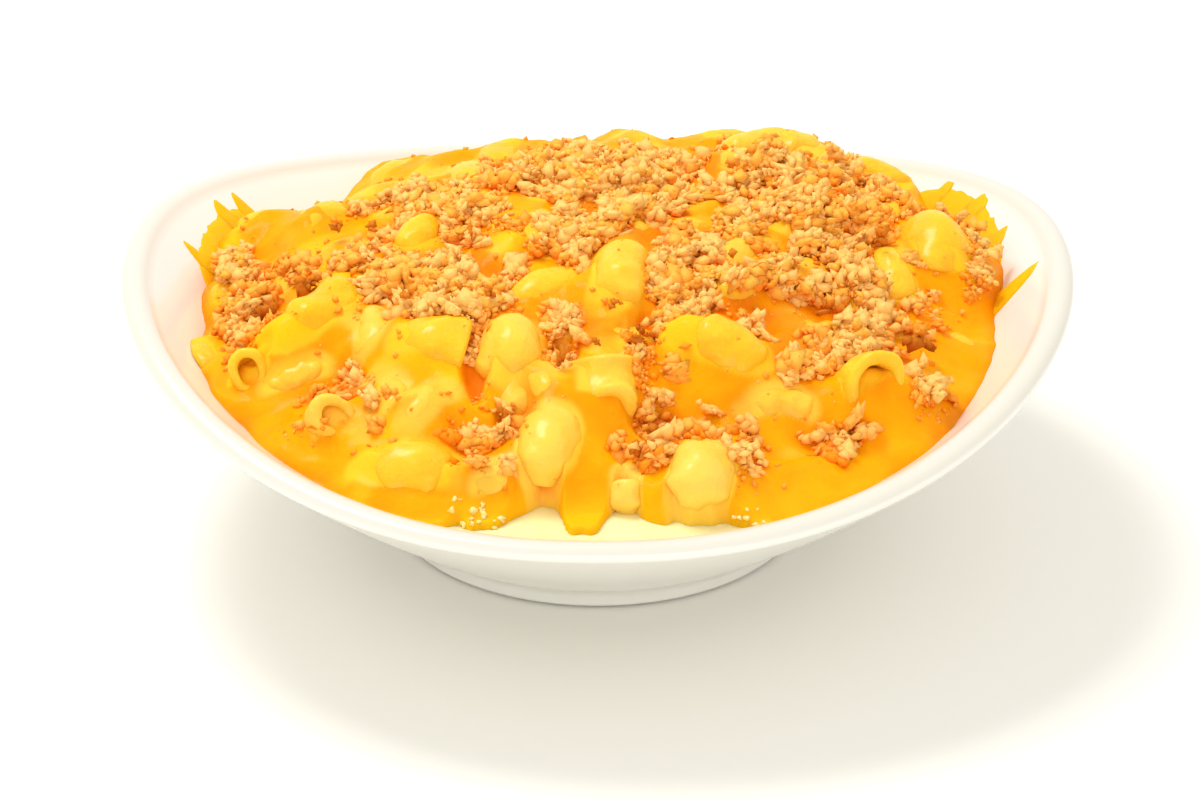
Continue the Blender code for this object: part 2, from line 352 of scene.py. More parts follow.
def bowl_section():
    """The section in metres: floor, cove, wall, lip as a cubic curve, outer wall and foot ring."""
    t = np.linspace(0, 1, 44)
    inside, outside = curve(INNER_WALL, t), curve(OUTER_WALL, t[::-1])
    s = np.linspace(0, 1, 18)[1:-1, None]
    a, b, c, d = np.array(LIP) * MM
    lip = (1 - s) ** 3 * a + 3 * (1 - s) ** 2 * s * b + 3 * (1 - s) * s**2 * c + s**3 * d
    cove = curve(COVE, np.linspace(0, 1, 10)[:-1])
    floor = [(radius * MM, FLOOR_HEIGHT) for radius in (8, 16, 22)]
    return np.concatenate((floor, cove, inside, lip, outside, np.array(FOOT + UNDERSIDE) * MM))


def turned_bowl(name, section, columns, surface):
    """Sweeps the section round the axis, warps every ring, and closes both poles with a fan."""
    angle = np.arange(columns) * 2 * np.pi / columns
    radius, height = warp(section[:, :1], angle[None], section[:, 1:])
    rings = np.stack((radius * np.cos(angle), radius * np.sin(angle), height), -1).reshape(-1, 3)
    poles = np.array(((0, 0, section[0, 1]), (0, 0, section[-1, 1])))
    lip_share = step(np.repeat(section[:, 1], columns), 42.5 * MM, 44 * MM)
    outside = np.repeat(np.arange(len(section)) > np.argmax(section[:, 1]), columns)
    thin_glaze_and_shade = np.append(np.maximum(lip_share, THIN_GLAZE_AND_SHADE_OUTSIDE * outside), (0, THIN_GLAZE_AND_SHADE_OUTSIDE))
    points = np.concatenate((rings, poles))
    faces = turned_faces(len(section), columns)
    return make_mesh(name, points, faces, surface, {"thin_glaze_and_shade": thin_glaze_and_shade})


bowl = turned_bowl("stoneware_bowl", bowl_section(), BOWL_COLUMNS, glaze)
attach(bowl, "root")
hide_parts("bowl")

# %% [markdown]
# The food's outline follows the inner wall, a little higher at the raised ends and at the back
# corners, where cheese has baked on to it. At the front it stops short in lobes, and the cream
# sauce shows. Tables round the bowl make these radii quick to look up.

# %% The food's outline and dome
DOME_BASE = 46 * MM
DOME_RISE = 20 * MM
MOUND = (40 * MM, 46 * MM, 20 * MM, 4.5 * MM)  # x, y, width and height of the mound at the back
# height in mm where the food meets the wall, its rise at the ends and its drop at the front
EDGE_HEIGHT = 45.0
EDGE_RISE_AT_ENDS = 5.5
EDGE_DROP_AT_FRONT = 2.8
EDGE_GAP = 0.5 * MM  # between the heap's outline and the wall
FRONT_SETBACK = 5.5 * MM
AROUND = np.linspace(-np.pi, np.pi, 1441)
# azimuth and half-width in degrees, height in mm: where cheese clings higher to the wall, or lies lower
EDGE_LUMPS = ((22, 14, 3.5), (8, 22, 2.2), (50, 10, 1.6), (160, 9, 2.5), (138, 14, -3.0))
# the same for the lobes of cheese that run out over the cream: azimuth, half-width, reach in mm
CHEESE_LOBES = ((-91.8, 3.4, 12.5), (-81.6, 2.4, 6.5), (-77, 2.6, 5.5), (-104, 3.6, 9.0))
BAY = 17 * MM
BAY_START = (-114, -102)  # azimuths in degrees between which the bay opens
BAY_END = (-80, -66)  # and closes again


def off_centre(angle, centre):
    """Degrees from a centre, the short way round."""
    return (np.degrees(angle) - centre + 180) % 360 - 180


def edge_height(angle):
    """Height of the food at the wall: higher at the ends and back corners, lower at the front."""
    front = np.clip(-np.sin(angle), 0, 1)
    height = EDGE_HEIGHT + EDGE_RISE_AT_ENDS * np.cos(angle) ** 2 - EDGE_DROP_AT_FRONT * front**6
    for centre, wide, tall in EDGE_LUMPS:
        height = height + tall * np.exp(-((off_centre(angle, centre) / wide) ** 2))
    return (height + 0.5 * np.sin(9 * angle + 1.0) + 0.4 * np.sin(17 * angle)) * MM


def shore(angle):
    """How far the cheese stops short of the wall: a bay of cream at the front with lobes in it."""
    turn = np.degrees(angle)
    bay = BAY * step(turn, *BAY_START) * (1 - step(turn, *BAY_END))
    for centre, wide, reach in CHEESE_LOBES:
        bay = bay - reach * MM * np.exp(-(np.abs(off_centre(angle, centre) / wide) ** 3))
    ripple = 0.35 * np.sin(70 * angle) + 0.5 * np.sin(113 * angle + 1)
    return np.clip(bay + ripple * MM * step(bay, 0, 2 * MM), 0, None)


WALL_TABLE = cavity_radius(AROUND, edge_height(AROUND))
EDGE_TABLE = WALL_TABLE - EDGE_GAP - FRONT_SETBACK * np.clip(-np.sin(AROUND), 0, 1) ** 10
SHORE_TABLE = WALL_TABLE + 0.3 * MM - shore(AROUND)


def brim(angle):
    """Radius and height of the upper end of the inner wall, where the lip begins to round over."""
    return warp(INNER_WALL[2][0] * MM, angle, INNER_WALL[2][1] * MM)


def edge_radius(angle):
    """Radius of the heap's outline at an angle, from the table."""
    return np.interp(angle, AROUND, EDGE_TABLE)


def dome(x, y):
    """The smooth heap: the outline's height, raised in the middle by 1 - u^2, with one mound at the back."""
    angle = np.arctan2(y, x)
    u = np.minimum(np.hypot(x, y) / edge_radius(angle), 1)
    mound_x, mound_y, wide, tall = MOUND
    mound = tall * np.exp(-((x - mound_x) ** 2 + (y - mound_y) ** 2) / wide**2)
    return DOME_BASE + (edge_height(angle) - DOME_BASE) * u**2 + DOME_RISE * (1 - u**2) + mound


print("top of the dome:", dome(0.0, 0.0))

# %% [markdown]
# Elbow macaroni is a short tube with a bend. The ones that stand out have a row each. The x and y where
# they lie were worked out beforehand by another program, so they are finer than an eye would set them.
# The lift, the heading of the chord, the pitch, the roll of the bend, the thickness, bend and paleness
# were given. A sunflower spiral fills the rest of the heap evenly, turned by chance. Each elbow's
# frame leans with the dome under it.

# %% Where the elbows lie
# x, y, lift (mm), heading, pitch, roll (degrees), tube radius, bend radius (mm), sweep (degrees), paleness
CHOSEN_ELBOWS = (
    (-33.1, -41.5, 5.0, -4, 14, 86, 7.2, 8, 84, 0.1),
    (1.0, -52.3, 4.2, 90, 8, -90, 6.5, 13, 56, 0.5),
    (54.5, -49.2, 3.4, 98, -85, 86, 6.6, 8.5, 100, 0.15),
    (-69.6, -39.0, 1.3, 96, -78, 85, 4.4, 8, 100, 0.1),
    (-52.6, -58.1, 1.4, 130, -80, 85, 5.0, 8, 100, 0.6),
    (72.1, 10.0, 4.6, 96, -12, 88, 7.1, 8.5, 126, 0.2),
    (-56.7, -25.8, 6.2, 242, 12, 12, 6.1, 20.5, 70, 0.0),
    (-17.8, -43.0, 3.2, 84, 0, 86, 6.3, 8.5, 104, 0.5),
    (4.1, -19.5, 3.6, 84, 6, 112, 5.8, 15, 78, 0.35),
    (25.2, -44.0, 4.6, -24, -20, 70, 7.2, 11, 76, 0.1),
    (-9.5, -67.2, 3.6, 84, -4, 88, 6.8, 7, 110, 0.75),
    (20.6, -75.4, 3.4, 80, -4, 92, 6.8, 6.5, 96, 0.95),
    (-36.5, -72.0, 1.0, -6, 0, 45, 7.0, 9.5, 100, 0.15),
    (38.5, 52.4, 3.0, 4, 2, 40, 6.6, 12.5, 115, 0.5),
    (-61.0, -41.4, 0.2, 18, 0, 60, 4.6, 9, 90, 0.5),
    (-41.9, -53.8, 0.8, 254, 0, 15, 4.6, 8, 110, 0.7),
    (-34.5, -59.9, 0.9, 56, 6, 60, 5.0, 10, 76, 0.9),
    (-44.5, -33.1, 1.2, 82, 0, 82, 5.6, 8.5, 100, 0.8),
    (-19.7, -73.3, -0.4, 20, 0, 60, 5.0, 8, 80, 0.95),
    (5.7, -75.3, -1.2, 84, 20, 90, 4.2, 5, 60, 0.9),
    (-10.3, -52.5, 0.6, -62, 0, 50, 4.6, 8, 90, 0.5),
    (-38.1, 3.8, 2.2, 72, 8, 100, 4.6, 10, 80, 0.05),
    (62.5, -3.8, 0.8, 98, 4, 60, 5.0, 10, 110, 0.15),
    (-15.1, -49.6, -1.0, 80, 6, 70, 5.4, 9, 110, 0.6),
    (-49.2, 80.4, -1.4, 24, 4, 30, 6.0, 10.5, 120, 0.2),
    (-60.8, 23.6, 0.0, 60, 6, 60, 5.8, 10, 120, 0.1),
    (36.3, -52.7, -2.0, 8, 0, 40, 5.0, 10, 90, 0.6),
    (31.3, -18.4, 0.8, 40, 0, 60, 6.0, 10, 120, 0.1),
    (-12.0, 3.6, -0.6, 86, 0, 70, 5.8, 11, 110, 0.1),
    (62.2, 63.1, 0.6, -24, 0, 30, 5.4, 10, 110, 0.1),
    (-81.1, -26.2, -0.8, 100, 0, 60, 4.8, 9, 110, 0.1),
)
OPEN_ELBOWS = 6  # the first of them show their cut ends; cheese rounds off the others
CLEAN_ELBOWS = 23  # the first of them carry almost no crumbs
FILLER_ELBOWS = 118
FILLER_REACH = 0.93  # share of the heap's radius that the fillers take up
FILLER_SPACING = 10 * MM  # least distance between the middles of two elbows
FILLER_FROM_SHORE = 9 * MM
# how much deeper the fillers lie than by chance
DEEPER_AT_WALL = 2.0 * MM  # at the two ends; twice this in front, and not at all at the back
DEEPER_IN_FRONT = 1.5 * MM
DEEPER_IN_MIDDLE = 1.0 * MM
GOLDEN_ANGLE = np.pi * (3 - 5**0.5)
PATH_POINTS = 17


def elbow_path(x, y, lift, heading, pitch, roll, tube, bend, sweep):
    """Centre line of an elbow in metres, and its frame: an arc of radius bend through the angle sweep."""
    small = 0.5 * MM
    slope_x = (dome(x + small, y) - dome(x - small, y)) / (2 * small)
    slope_y = (dome(x, y + small) - dome(x, y - small)) / (2 * small)
    normal = unit(np.array((-slope_x, -slope_y, 1.0)))
    heading, pitch, roll, sweep = np.radians((heading, pitch, roll, sweep))
    chord = np.array((np.cos(heading), np.sin(heading), 0.0))
    chord = unit(chord - normal * (chord @ normal))
    side = np.cross(normal, chord)
    chord, normal = (
        chord * np.cos(pitch) + normal * np.sin(pitch),
        normal * np.cos(pitch) - chord * np.sin(pitch),
    )
    bulge = side * np.cos(roll) + normal * np.sin(roll)
    turn = np.linspace(-sweep / 2, sweep / 2, PATH_POINTS)[:, None]
    middle = np.array((x, y, dome(x, y) + lift - tube))
    path = middle + bend * (np.sin(turn) * chord + (np.cos(turn) - np.cos(turn).mean()) * bulge)
    outward = np.sin(turn) * chord + np.cos(turn) * bulge
    return path, outward, np.cross(chord, bulge)


def arrange_elbows():
    """Paths of the chosen elbows, then of the fillers wherever a place is free; each with its own sizes."""
    elbows = []
    centres = []
    for x, y, lift, heading, pitch, roll, tube, bend, sweep, paleness in CHOSEN_ELBOWS:
        sizes = np.array((x, y, lift)) * MM
        shape = elbow_path(*sizes, heading, pitch, roll, tube * MM, bend * MM, sweep)
        elbows.append((*shape, tube * MM, paleness, True))
        centres.append(shape[0].mean(axis=0)[:2])
    random = np.random.default_rng(7)
    for number in range(FILLER_ELBOWS):
        angle = (number * GOLDEN_ANGLE + np.pi) % (2 * np.pi) - np.pi
        reach = FILLER_REACH * ((number + 0.5) / FILLER_ELBOWS) ** 0.5 * edge_radius(angle)
        x, y = reach * np.cos(angle), reach * np.sin(angle)
        lift, pitch, roll = random.uniform((-2.4 * MM, -30, -10), (0.4 * MM, 30, 90))
        heading, tube, bend, sweep, paleness = random.uniform(
            (0, 5.2, 8.5, 100, 0.0), (360, 6.6, 12, 140, 0.5)
        )
        lift -= DEEPER_AT_WALL * (1 - np.sin(angle)) * step(reach / edge_radius(angle), 0.6, 0.84)
        lift -= DEEPER_IN_FRONT * step(-y, 15 * MM, 30 * MM)
        lift -= DEEPER_IN_MIDDLE * (1 - step(reach, 38 * MM, 50 * MM))
        near = min(np.hypot(*(np.array((x, y)) - centre)) for centre in centres)
        farthest = np.interp(angle, AROUND, SHORE_TABLE) - FILLER_FROM_SHORE
        if near < FILLER_SPACING or reach > farthest:
            continue
        shape = elbow_path(x, y, lift, heading, pitch, roll, tube * MM, bend * MM, sweep)
        elbows.append((*shape, tube * MM, paleness, False))
        centres.append(shape[0].mean(axis=0)[:2])
    return elbows


elbows = arrange_elbows()
print(len(elbows), "elbows")

# %% [markdown]
# Melted cheese is a thick liquid: it fills the narrow gaps between the elbows, climbs their sides and
# bridges from one to the next. On a raster of heights that is a closing: the tops of the tubes are
# spread sideways by a smooth maximum, and then drawn back by a smooth minimum. Cheese then sinks a
# little below the closed surface where the pasta is bare, and stands above it where it lies thick.

# %% The raster of heights
CELL = 0.5 * MM
RASTER_HALF = 102 * MM
LINE = np.arange(-RASTER_HALF, RASTER_HALF + CELL / 2, CELL)
GRID_X, GRID_Y = np.meshgrid(LINE, LINE)
GRID_ANGLE = np.arctan2(GRID_Y, GRID_X)
GRID_DOME = dome(GRID_X, GRID_Y)
MIDDLE_HEIGHT = 55 * MM  # heights are taken from here, so that their exponentials stay small
SPREAD_SHARPNESS = 1.1


def blur(field, width):
    """Gaussian blur: every wave of the field shrinks by exp(-2 (pi width k)^2), k its waves per metre."""
    k = np.fft.fftfreq(len(field), CELL)
    fade = np.exp(-2 * (np.pi * width * k) ** 2)
    return np.fft.ifft2(np.fft.fft2(field) * fade[:, None] * fade[None]).real


def spread_up(field, width):
    """Smooth maximum over a neighbourhood: the logarithm of the blurred exponential, heights in mm."""
    scaled = (field - MIDDLE_HEIGHT) / MM * SPREAD_SHARPNESS
    spread = np.log(np.clip(blur(np.exp(scaled), width), 1e-9, None))
    return spread / SPREAD_SHARPNESS * MM + MIDDLE_HEIGHT


def spread_down(field, width):
    """Smooth minimum over a neighbourhood."""
    return 2 * MIDDLE_HEIGHT - spread_up(2 * MIDDLE_HEIGHT - field, width)


def clouds(width, seed):
    """Blurred chance values, scaled to a spread of one."""
    field = blur(np.random.default_rng(seed).normal(size=GRID_X.shape), width)
    return field / field.std()


def look_up(field, x, y):
    """A raster's value between its points, by weighting the four around (x, y)."""
    column = np.clip((np.asarray(x) - LINE[0]) / CELL, 0, len(LINE) - 1.001)
    row = np.clip((np.asarray(y) - LINE[0]) / CELL, 0, len(LINE) - 1.001)
    i, j = row.astype(int), column.astype(int)
    v, u = row - i, column - j
    upper = field[i, j] * (1 - u) + field[i, j + 1] * u
    lower = field[i + 1, j] * (1 - u) + field[i + 1, j + 1] * u
    return upper * (1 - v) + lower * v


def tube_tops(elbows):
    """Height of the highest tube over each raster point and that elbow's number; 0 and -1 where none is.

    An open elbow stops at its ends; the round ends of the others run on past theirs."""
    tops = np.zeros(GRID_X.shape)
    owner = np.full(GRID_X.shape, -1)
    for number, (path, _, _, tube, _, _) in enumerate(elbows):
        ends = ((path[0], path[0] - path[1]), (path[-1], path[-1] - path[-2]))
        for x, y, z in path:
            low_x, high_x = np.searchsorted(LINE, (x - tube, x + tube))
            low_y, high_y = np.searchsorted(LINE, (y - tube, y + tube))
            window = (slice(low_y, high_y), slice(low_x, high_x))
            grid_x, grid_y = GRID_X[window], GRID_Y[window]
            away = (grid_x - x) ** 2 + (grid_y - y) ** 2
            top = z + np.sqrt(np.clip(tube**2 - away, 0, None))
            better = (away < tube**2) & (top > tops[window])
            for end, way in ends if number < OPEN_ELBOWS else ():
                offset = (grid_x - end[0], grid_y - end[1], top - end[2])
                better &= sum(a * b for a, b in zip(offset, way)) < 0
            tops[window][better] = top[better]
            owner[window][better] = number
    return tops, owner


def ellipses(shapes):
    """Soft spots on the raster: each has a centre and half-axes in mm, a turn in degrees and a weight."""
    total = np.zeros(GRID_X.shape)
    for x, y, long, wide, turn, weight in shapes:
        c, s = np.cos(np.radians(turn)), np.sin(np.radians(turn))
        u = ((GRID_X - x * MM) * c + (GRID_Y - y * MM) * s) / (long * MM)
        v = (-(GRID_X - x * MM) * s + (GRID_Y - y * MM) * c) / (wide * MM)
        total = np.maximum(total, weight * (1 - step(np.hypot(u, v), 0.6, 1.3)))
    return total


# centre and half-axes in mm, turn in degrees, weight
THICK_CHEESE = (
    (74, -28, 30, 13, 70, 1.0),
    (62, -60, 22, 10, 48, 1.0),
    (42, -74, 22, 8, 25, 1.0),
    (80, 12, 12, 22, 0, 0.9),
    (-80, -8, 9, 26, 0, 0.9),
    (-68, -56, 22, 9, -48, 1.0),
    (-44, -78, 18, 7, -25, 0.9),
    (-15, 12, 10, 8, 0, 0.9),
    (27, 10, 7, 12, 20, 0.9),
    (-22, -80, 14, 5, -5, 0.9),
    (-3, -82, 6, 7, 0, 0.9),
    (-30, 78, 40, 12, 15, 0.9),
    (-66, 52, 24, 10, -50, 0.9),
    (35, 78, 40, 10, -15, 0.8),
    (66, 52, 22, 10, 50, 0.8),
)
BARE_PASTA = (
    (-58, -25, 20, 9, 62, 1.0),
    (-32, -42, 13, 11, 0, 1.0),
    (-18, -42, 9, 9, 0, 1.0),
    (1, -51, 9, 9, 0, 1.0),
    (4, -19, 8, 16, 0, 1.0),
    (24, -44, 14, 9, -20, 1.0),
    (-9, -68, 9, 9, 0, 1.0),
    (20, -76, 9, 8, 0, 1.0),
    (54, -50, 9, 8, 0, 1.0),
    (72, 8, 10, 13, 0, 1.0),
    (39, 50, 16, 10, 0, 1.0),
    (-38, 4, 6, 9, 0, 0.8),
    (-37, -73, 12, 6, 0, 0.8),
    (-70, -38, 7, 6, 0, 1.0),
    (-61, -41, 7, 5, 0, 0.7),
    (-53, -58, 7, 6, 0, 1.0),
    (-40, -54, 10, 6, 30, 0.7),
    (-45, -36, 6, 8, 0, 0.6),
)
# the same, with a depth in mm in place of the weight: gaps between elbows that stayed open
OPEN_GAPS = (
    (-24.5, -46, 3.2, 10, 0, 4.5),
    (-7, -42, 3.0, 8, 0, 4.5),
    (9.5, -38, 3.0, 9, 0, 4.5),
    (54, -50, 4.5, 4, 0, 2.8),
    (60, -4, 3, 6, -10, 3.0),
    (-16, -60, 4, 5, 0, 3.0),
    (12, -60, 7, 4, -20, 3.0),
    (-50, -46, 3, 6, 0, 2.5),
    (-69, -38, 3, 3, 0, 2.5),
)
BANK_WIDTH = 9 * MM
BANK_HEIGHT = 12 * MM
BANK_SLOPE = 1.5  # behind its rounded front
GAP_WIDTH = 2.1 * MM  # how wide the tops are spread and drawn back
UNDER_BRIM = 0.4 * MM
BRIM_SLOPE = 1.3  # how steeply the cheese may rise inwards from the brim
tops, owner = tube_tops(elbows)
thick = ellipses(THICK_CHEESE)
bare = ellipses(BARE_PASTA)
gaps = np.maximum(tops, GRID_DOME - (8.5 - 4.5 * np.maximum(thick, 0.4 * (1 - bare))) * MM)
closed = spread_down(spread_up(gaps, GAP_WIDTH), GAP_WIDTH)
# wrinkles and depths below are in mm until they are added to a height
wrinkles = 0.40 * clouds(5 * MM, 3) + 0.28 * clouds(2.2 * MM, 5) + 0.13 * clouds(1.3 * MM, 4)
wrinkles += 0.35 * clouds(3.2 * MM, 8) * step(-GRID_Y, 35 * MM, 60 * MM)
cheese = closed + (0.4 + 1.0 * thick - 0.75 * bare + wrinkles - ellipses(OPEN_GAPS)) * MM
reach = np.hypot(GRID_X, GRID_Y)
share = reach / edge_radius(GRID_ANGLE)
edge = edge_height(GRID_ANGLE)
fall = step(share, 0.88, 1.0)
cheese = cheese * (1 - fall) + np.minimum(cheese, edge + 0.8 * MM) * fall
from_shore = np.interp(GRID_ANGLE, AROUND, SHORE_TABLE) - reach
bank = 1 - (1 - np.clip(from_shore / BANK_WIDTH, 0, 1)) ** 2
bank = SAUCE_LEVEL - 3 * MM + BANK_HEIGHT * np.sqrt(bank)
bank += BANK_SLOPE * np.clip(from_shore - BANK_WIDTH / 2, 0, None)
bay = shore(GRID_ANGLE) > 0.5 * MM
bank = np.where(bay, bank, 1.0)
cheese = np.where(bay, np.maximum(cheese, np.minimum(bank, SAUCE_LEVEL + 1.5 * MM)), cheese)
cheese = np.minimum(cheese, bank + 0.3 * MM * clouds(2.2 * MM, 6))
brim_radius, brim_height = brim(GRID_ANGLE)
cheese = np.minimum(cheese, brim_height - UNDER_BRIM + BRIM_SLOPE * np.clip(brim_radius - reach, 0, None))
wall = on_wall(GRID_ANGLE, np.minimum(reach, brim_radius), 0, 1)
cheese = np.where(reach > 60 * MM, np.maximum(cheese, wall - 0.5 * MM), cheese)
soft = blur(cheese, 3.0 * MM)
# how far a point lies down in a crevice; it sets the painted shade there
crevice_shade = np.clip((soft - cheese) / (2.2 * MM), -1, 1)
cover = cheese - tops
print("cheese heights:", cheese.min(), cheese.max())

# %% [markdown]
# The cheese is one closed body. Its top is a square grid mapped to the disc ring for ring, which
# keeps the cells even, and its sides drop along the wall to a flat underside below the sauce. Its
# colour is lightest as a film over pasta, deepest as painted shade in crevices, and deeper in chance
# patches over the middle of the top.

# %% Cheese material
# centre and half-axes in mm, turn in degrees, weight
DEEP_COLOURED_CHEESE = (
    (-66, 30, 20, 16, -30, 1.0),
    (-52, -60, 12, 5, 0, 0.4),
    (60, -60, 16, 10, 30, 0.5),
    (74, -24, 9, 9, 0, 1.0),
)
melted, tree, shader = new_material(
    "melted_cheese",
    IOR=1.45,
    Subsurface_Weight=0.4,
    Subsurface_Radius=(1.0, 0.55, 0.1),
    Subsurface_Scale=0.002,
    Specular_IOR_Level=0.02,
    Coat_Weight=0.06,
    Coat_Roughness=0.1,
)
colour = wear_skin(
    tree,
    shader,
    0.6,
    0.0012,
    Tone_A=(0.98, 0.30, 0.001, 1),
    Tone_B=(0.99, 0.41, 0.002, 1),
    Fleck=(0.99, 0.48, 0.015, 1),
    Patch_Scale=95.0,
    Grain_Scale=700.0,
    Fleck_Amount=0.25,
    Roughness=0.34,
)
film = mix_colour(tree, point_value(tree, "film"), colour, (0.99, 0.52, 0.007, 1))
pale = mix_colour(tree, point_value(tree, "paleness"), film, (0.99, 0.63, 0.10, 1))
# painted shade: deep orange in crevices, and the deeper patches over the middle of the top
deep = mix_colour(tree, point_value(tree, "crevice_shade"), pale, (0.90, 0.22, 0.002, 1))
tree.links.new(deep, shader.inputs["Base Color"])

# %% Cheese mesh
CHEESE_CELLS = 340
CHEESE_BOTTOM = 33 * MM
INTO_WALL = 0.8 * MM  # the top's edge goes this far into the bowl's wall, so that no gap shows
# how deep the colour is in chance patches over the middle of the top
DARKER_MIDDLE_AMOUNT = 0.85


def disc_grid(cells):
    """Share of the radius and angle for a square grid mapped to a disc: each square ring becomes a circle."""
    line = np.linspace(-1, 1, cells + 1)
    a, b = np.meshgrid(line, line)
    wide = np.abs(a) >= np.abs(b)
    radius = np.where(wide, np.abs(a), np.abs(b))
    safe_a, safe_b = np.where(a == 0, 1e-12, a), np.where(b == 0, 1e-12, b)
    flat = np.pi / 4 * b / safe_a + np.where(a > 0, 0, np.pi)
    steep = np.pi / 2 - np.pi / 4 * a / safe_b + np.where(b > 0, 0, np.pi)
    angle = np.where(wide, flat, steep)
    return radius, (angle + np.pi) % (2 * np.pi) - np.pi


def boundary_loop(cells):
    """Indices of a square grid's outer points in order, starting at one corner."""
    n = cells + 1
    index = np.arange(n * n).reshape(n, n)
    return np.concatenate((index[0, :-1], index[:-1, -1], index[-1, :0:-1], index[:0:-1, 0]))


def heap_body(name, heights, values, surface):
    """Closed body: the raster's heights on a disc grid out to the wall, a side wall and a flat underside."""
    u, angle = disc_grid(CHEESE_CELLS)
    radius = u * (np.minimum(np.interp(angle, AROUND, WALL_TABLE), brim(angle)[0]) + INTO_WALL)
    x, y = radius * np.cos(angle), radius * np.sin(angle)
    top = np.stack((x, y, look_up(heights, x, y)), -1).reshape(-1, 3)
    loop = boundary_loop(CHEESE_CELLS)
    low = np.minimum(cavity_radius(angle.ravel()[loop], CHEESE_BOTTOM) - 0.5 * MM, radius.ravel()[loop])
    turn = angle.ravel()[loop]
    under = np.stack((low * np.cos(turn), low * np.sin(turn), np.full(len(loop), CHEESE_BOTTOM)), -1)
    ring = len(top) + np.arange(len(loop))
    centre = np.array([[0, 0, CHEESE_BOTTOM]])
    following, ring_following = np.roll(loop, -1), np.roll(ring, -1)
    sides = np.stack((loop, ring, ring_following, following), -1)
    base = np.stack((np.full(len(ring), len(top) + len(ring)), ring_following, ring), -1)
    points = np.concatenate((top, under, centre))
    data = {key: look_up(field, points[:, 0], points[:, 1]) for key, field in values.items()}
    return make_mesh(name, points, [grid_faces(len(u), len(u)), sides, base], surface, data)


# depth of cheese over the pasta, as far as its colour goes
seam = cover + 0.3 * MM * clouds(2.5 * MM, 9) + 1.2 * MM * ellipses(DEEP_COLOURED_CHEESE)
# the film: thin cheese over pasta, near the cream, and in chance patches on the left
film_field = (1 - step(seam / (1.0 + 1.6 * bare), 0.1 * MM, 1.1 * MM)) * (0.3 + 0.7 * bare)
film_field = np.maximum(film_field, 1 - step(seam, -0.1 * MM, 0.45 * MM))
film_field = np.maximum(film_field, 0.8 - 0.8 * step(cheese - SAUCE_LEVEL, 1 * MM, 7 * MM))
yellow_patches = 0.6 * step(clouds(4 * MM, 13), 0.3, 1.4) * (1 - step(GRID_X, 20 * MM, 50 * MM))
film_field = np.maximum(film_field, yellow_patches)
# each elbow's own paleness shows through thin cheese; the last value is for points with no elbow
palenesses = np.array([shape[4] for shape in elbows] + [0.0])
pale_field = blur(palenesses[owner], 1.2 * MM) * (1 - step(seam / (1.0 + 1.6 * bare), 0.2 * MM, 1.4 * MM))
pale_field = np.clip(pale_field * (0.75 + 0.15 * clouds(2.5 * MM, 12)), 0, 1)
# painted shade in crevices above the cream, and deeper colour in chance patches over the middle of the top
crevice_shade_and_darker_middle = step(crevice_shade, 0.15, 1.0) * step(cheese - SAUCE_LEVEL, 1 * MM, 5 * MM)
darker_middle = DARKER_MIDDLE_AMOUNT * (1 - step(share, 0.5, 0.85)) * (1 - bare) * step(clouds(4 * MM, 14), -0.6, 0.6)
crevice_shade_and_darker_middle = np.maximum(crevice_shade_and_darker_middle, darker_middle)
cheese_body = heap_body(
    "melted_cheese", cheese, {"film": film_field, "crevice_shade": crevice_shade_and_darker_middle, "paleness": pale_field}, melted
)
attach(cheese_body, "root")
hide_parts("macaroni_heap")

# %% [markdown]
# In the oven, grated cheese has baked on to the bare wall as thin pointed tatters. Each one is a strip
# that hugs the wall: its foot is in the heap, its top edge rises to one tip and falls again, and it
# thins to nothing there. A low broad strip joins the feet at each back corner.

# %% Cheese tatters on the wall
# azimuth in degrees at the start, the tip and the end, height of the tip in mm, and how hollow its sides are
TATTERS = (
    (176, 161, 144, 53.0, 0.5),
    (172.3, 168.8, 166.6, 55.6, 2.2),
    (158.5, 154.5, 151.5, 55.0, 1.5),
    (152.6, 150.0, 147.0, 53.6, 1.3),
    (41, 21, 5, 54.6, 0.5),
    (37.8, 33.6, 31.4, 54.2, 1.8),
    (29, 25.2, 21, 56.2, 1.2),
    (18, 15.0, 11, 55.8, 1.2),
    (0.8, -0.3, -6.5, 59.2, 3.0),
)
STRIP_ROWS = 12
STRIP_COLUMNS = 40
STRIP_THICKNESS = 1.3 * MM
STRIP_FOOT_DEPTH = 6 * MM  # how far the foot lies below the heap's edge


def tatter(start, tip, end, height, hollow):
    """One pointed strip: rows from its foot to its edge in front of the wall, and back down inside it."""
    turn = np.linspace(start, end, STRIP_COLUMNS)
    angle = np.radians(turn)
    rise = np.where(turn > tip, (start - turn) / (start - tip), (turn - end) / (tip - end))
    foot = edge_height(angle) - STRIP_FOOT_DEPTH
    ragged = 0.2 * MM * (np.sin(turn * 1.7) + np.sin(turn * 2.9 + 1)) * rise
    top = foot + (height * MM - foot) * np.clip(rise * (2 - rise), 0.02, 1) ** hollow + ragged
    top = np.minimum(top, brim(angle)[1] - 0.1 * MM)
    share = np.linspace(0, 1, STRIP_ROWS)[:, None]
    level = foot + (top - foot) * share
    wall = cavity_radius(angle, level)
    thin = STRIP_THICKNESS * np.sqrt(np.clip(1 - share**2, 0, 1))
    thin = thin * np.sin(np.pi * np.clip(rise, 0.05, 0.5))
    inner, outer = wall - thin - 0.05 * MM, (wall + 0.4 * MM)[::-1]
    radius = np.concatenate((inner, outer))
    level = np.concatenate((level, level[::-1]))
    return np.stack((radius * np.cos(angle), radius * np.sin(angle), level), -1)


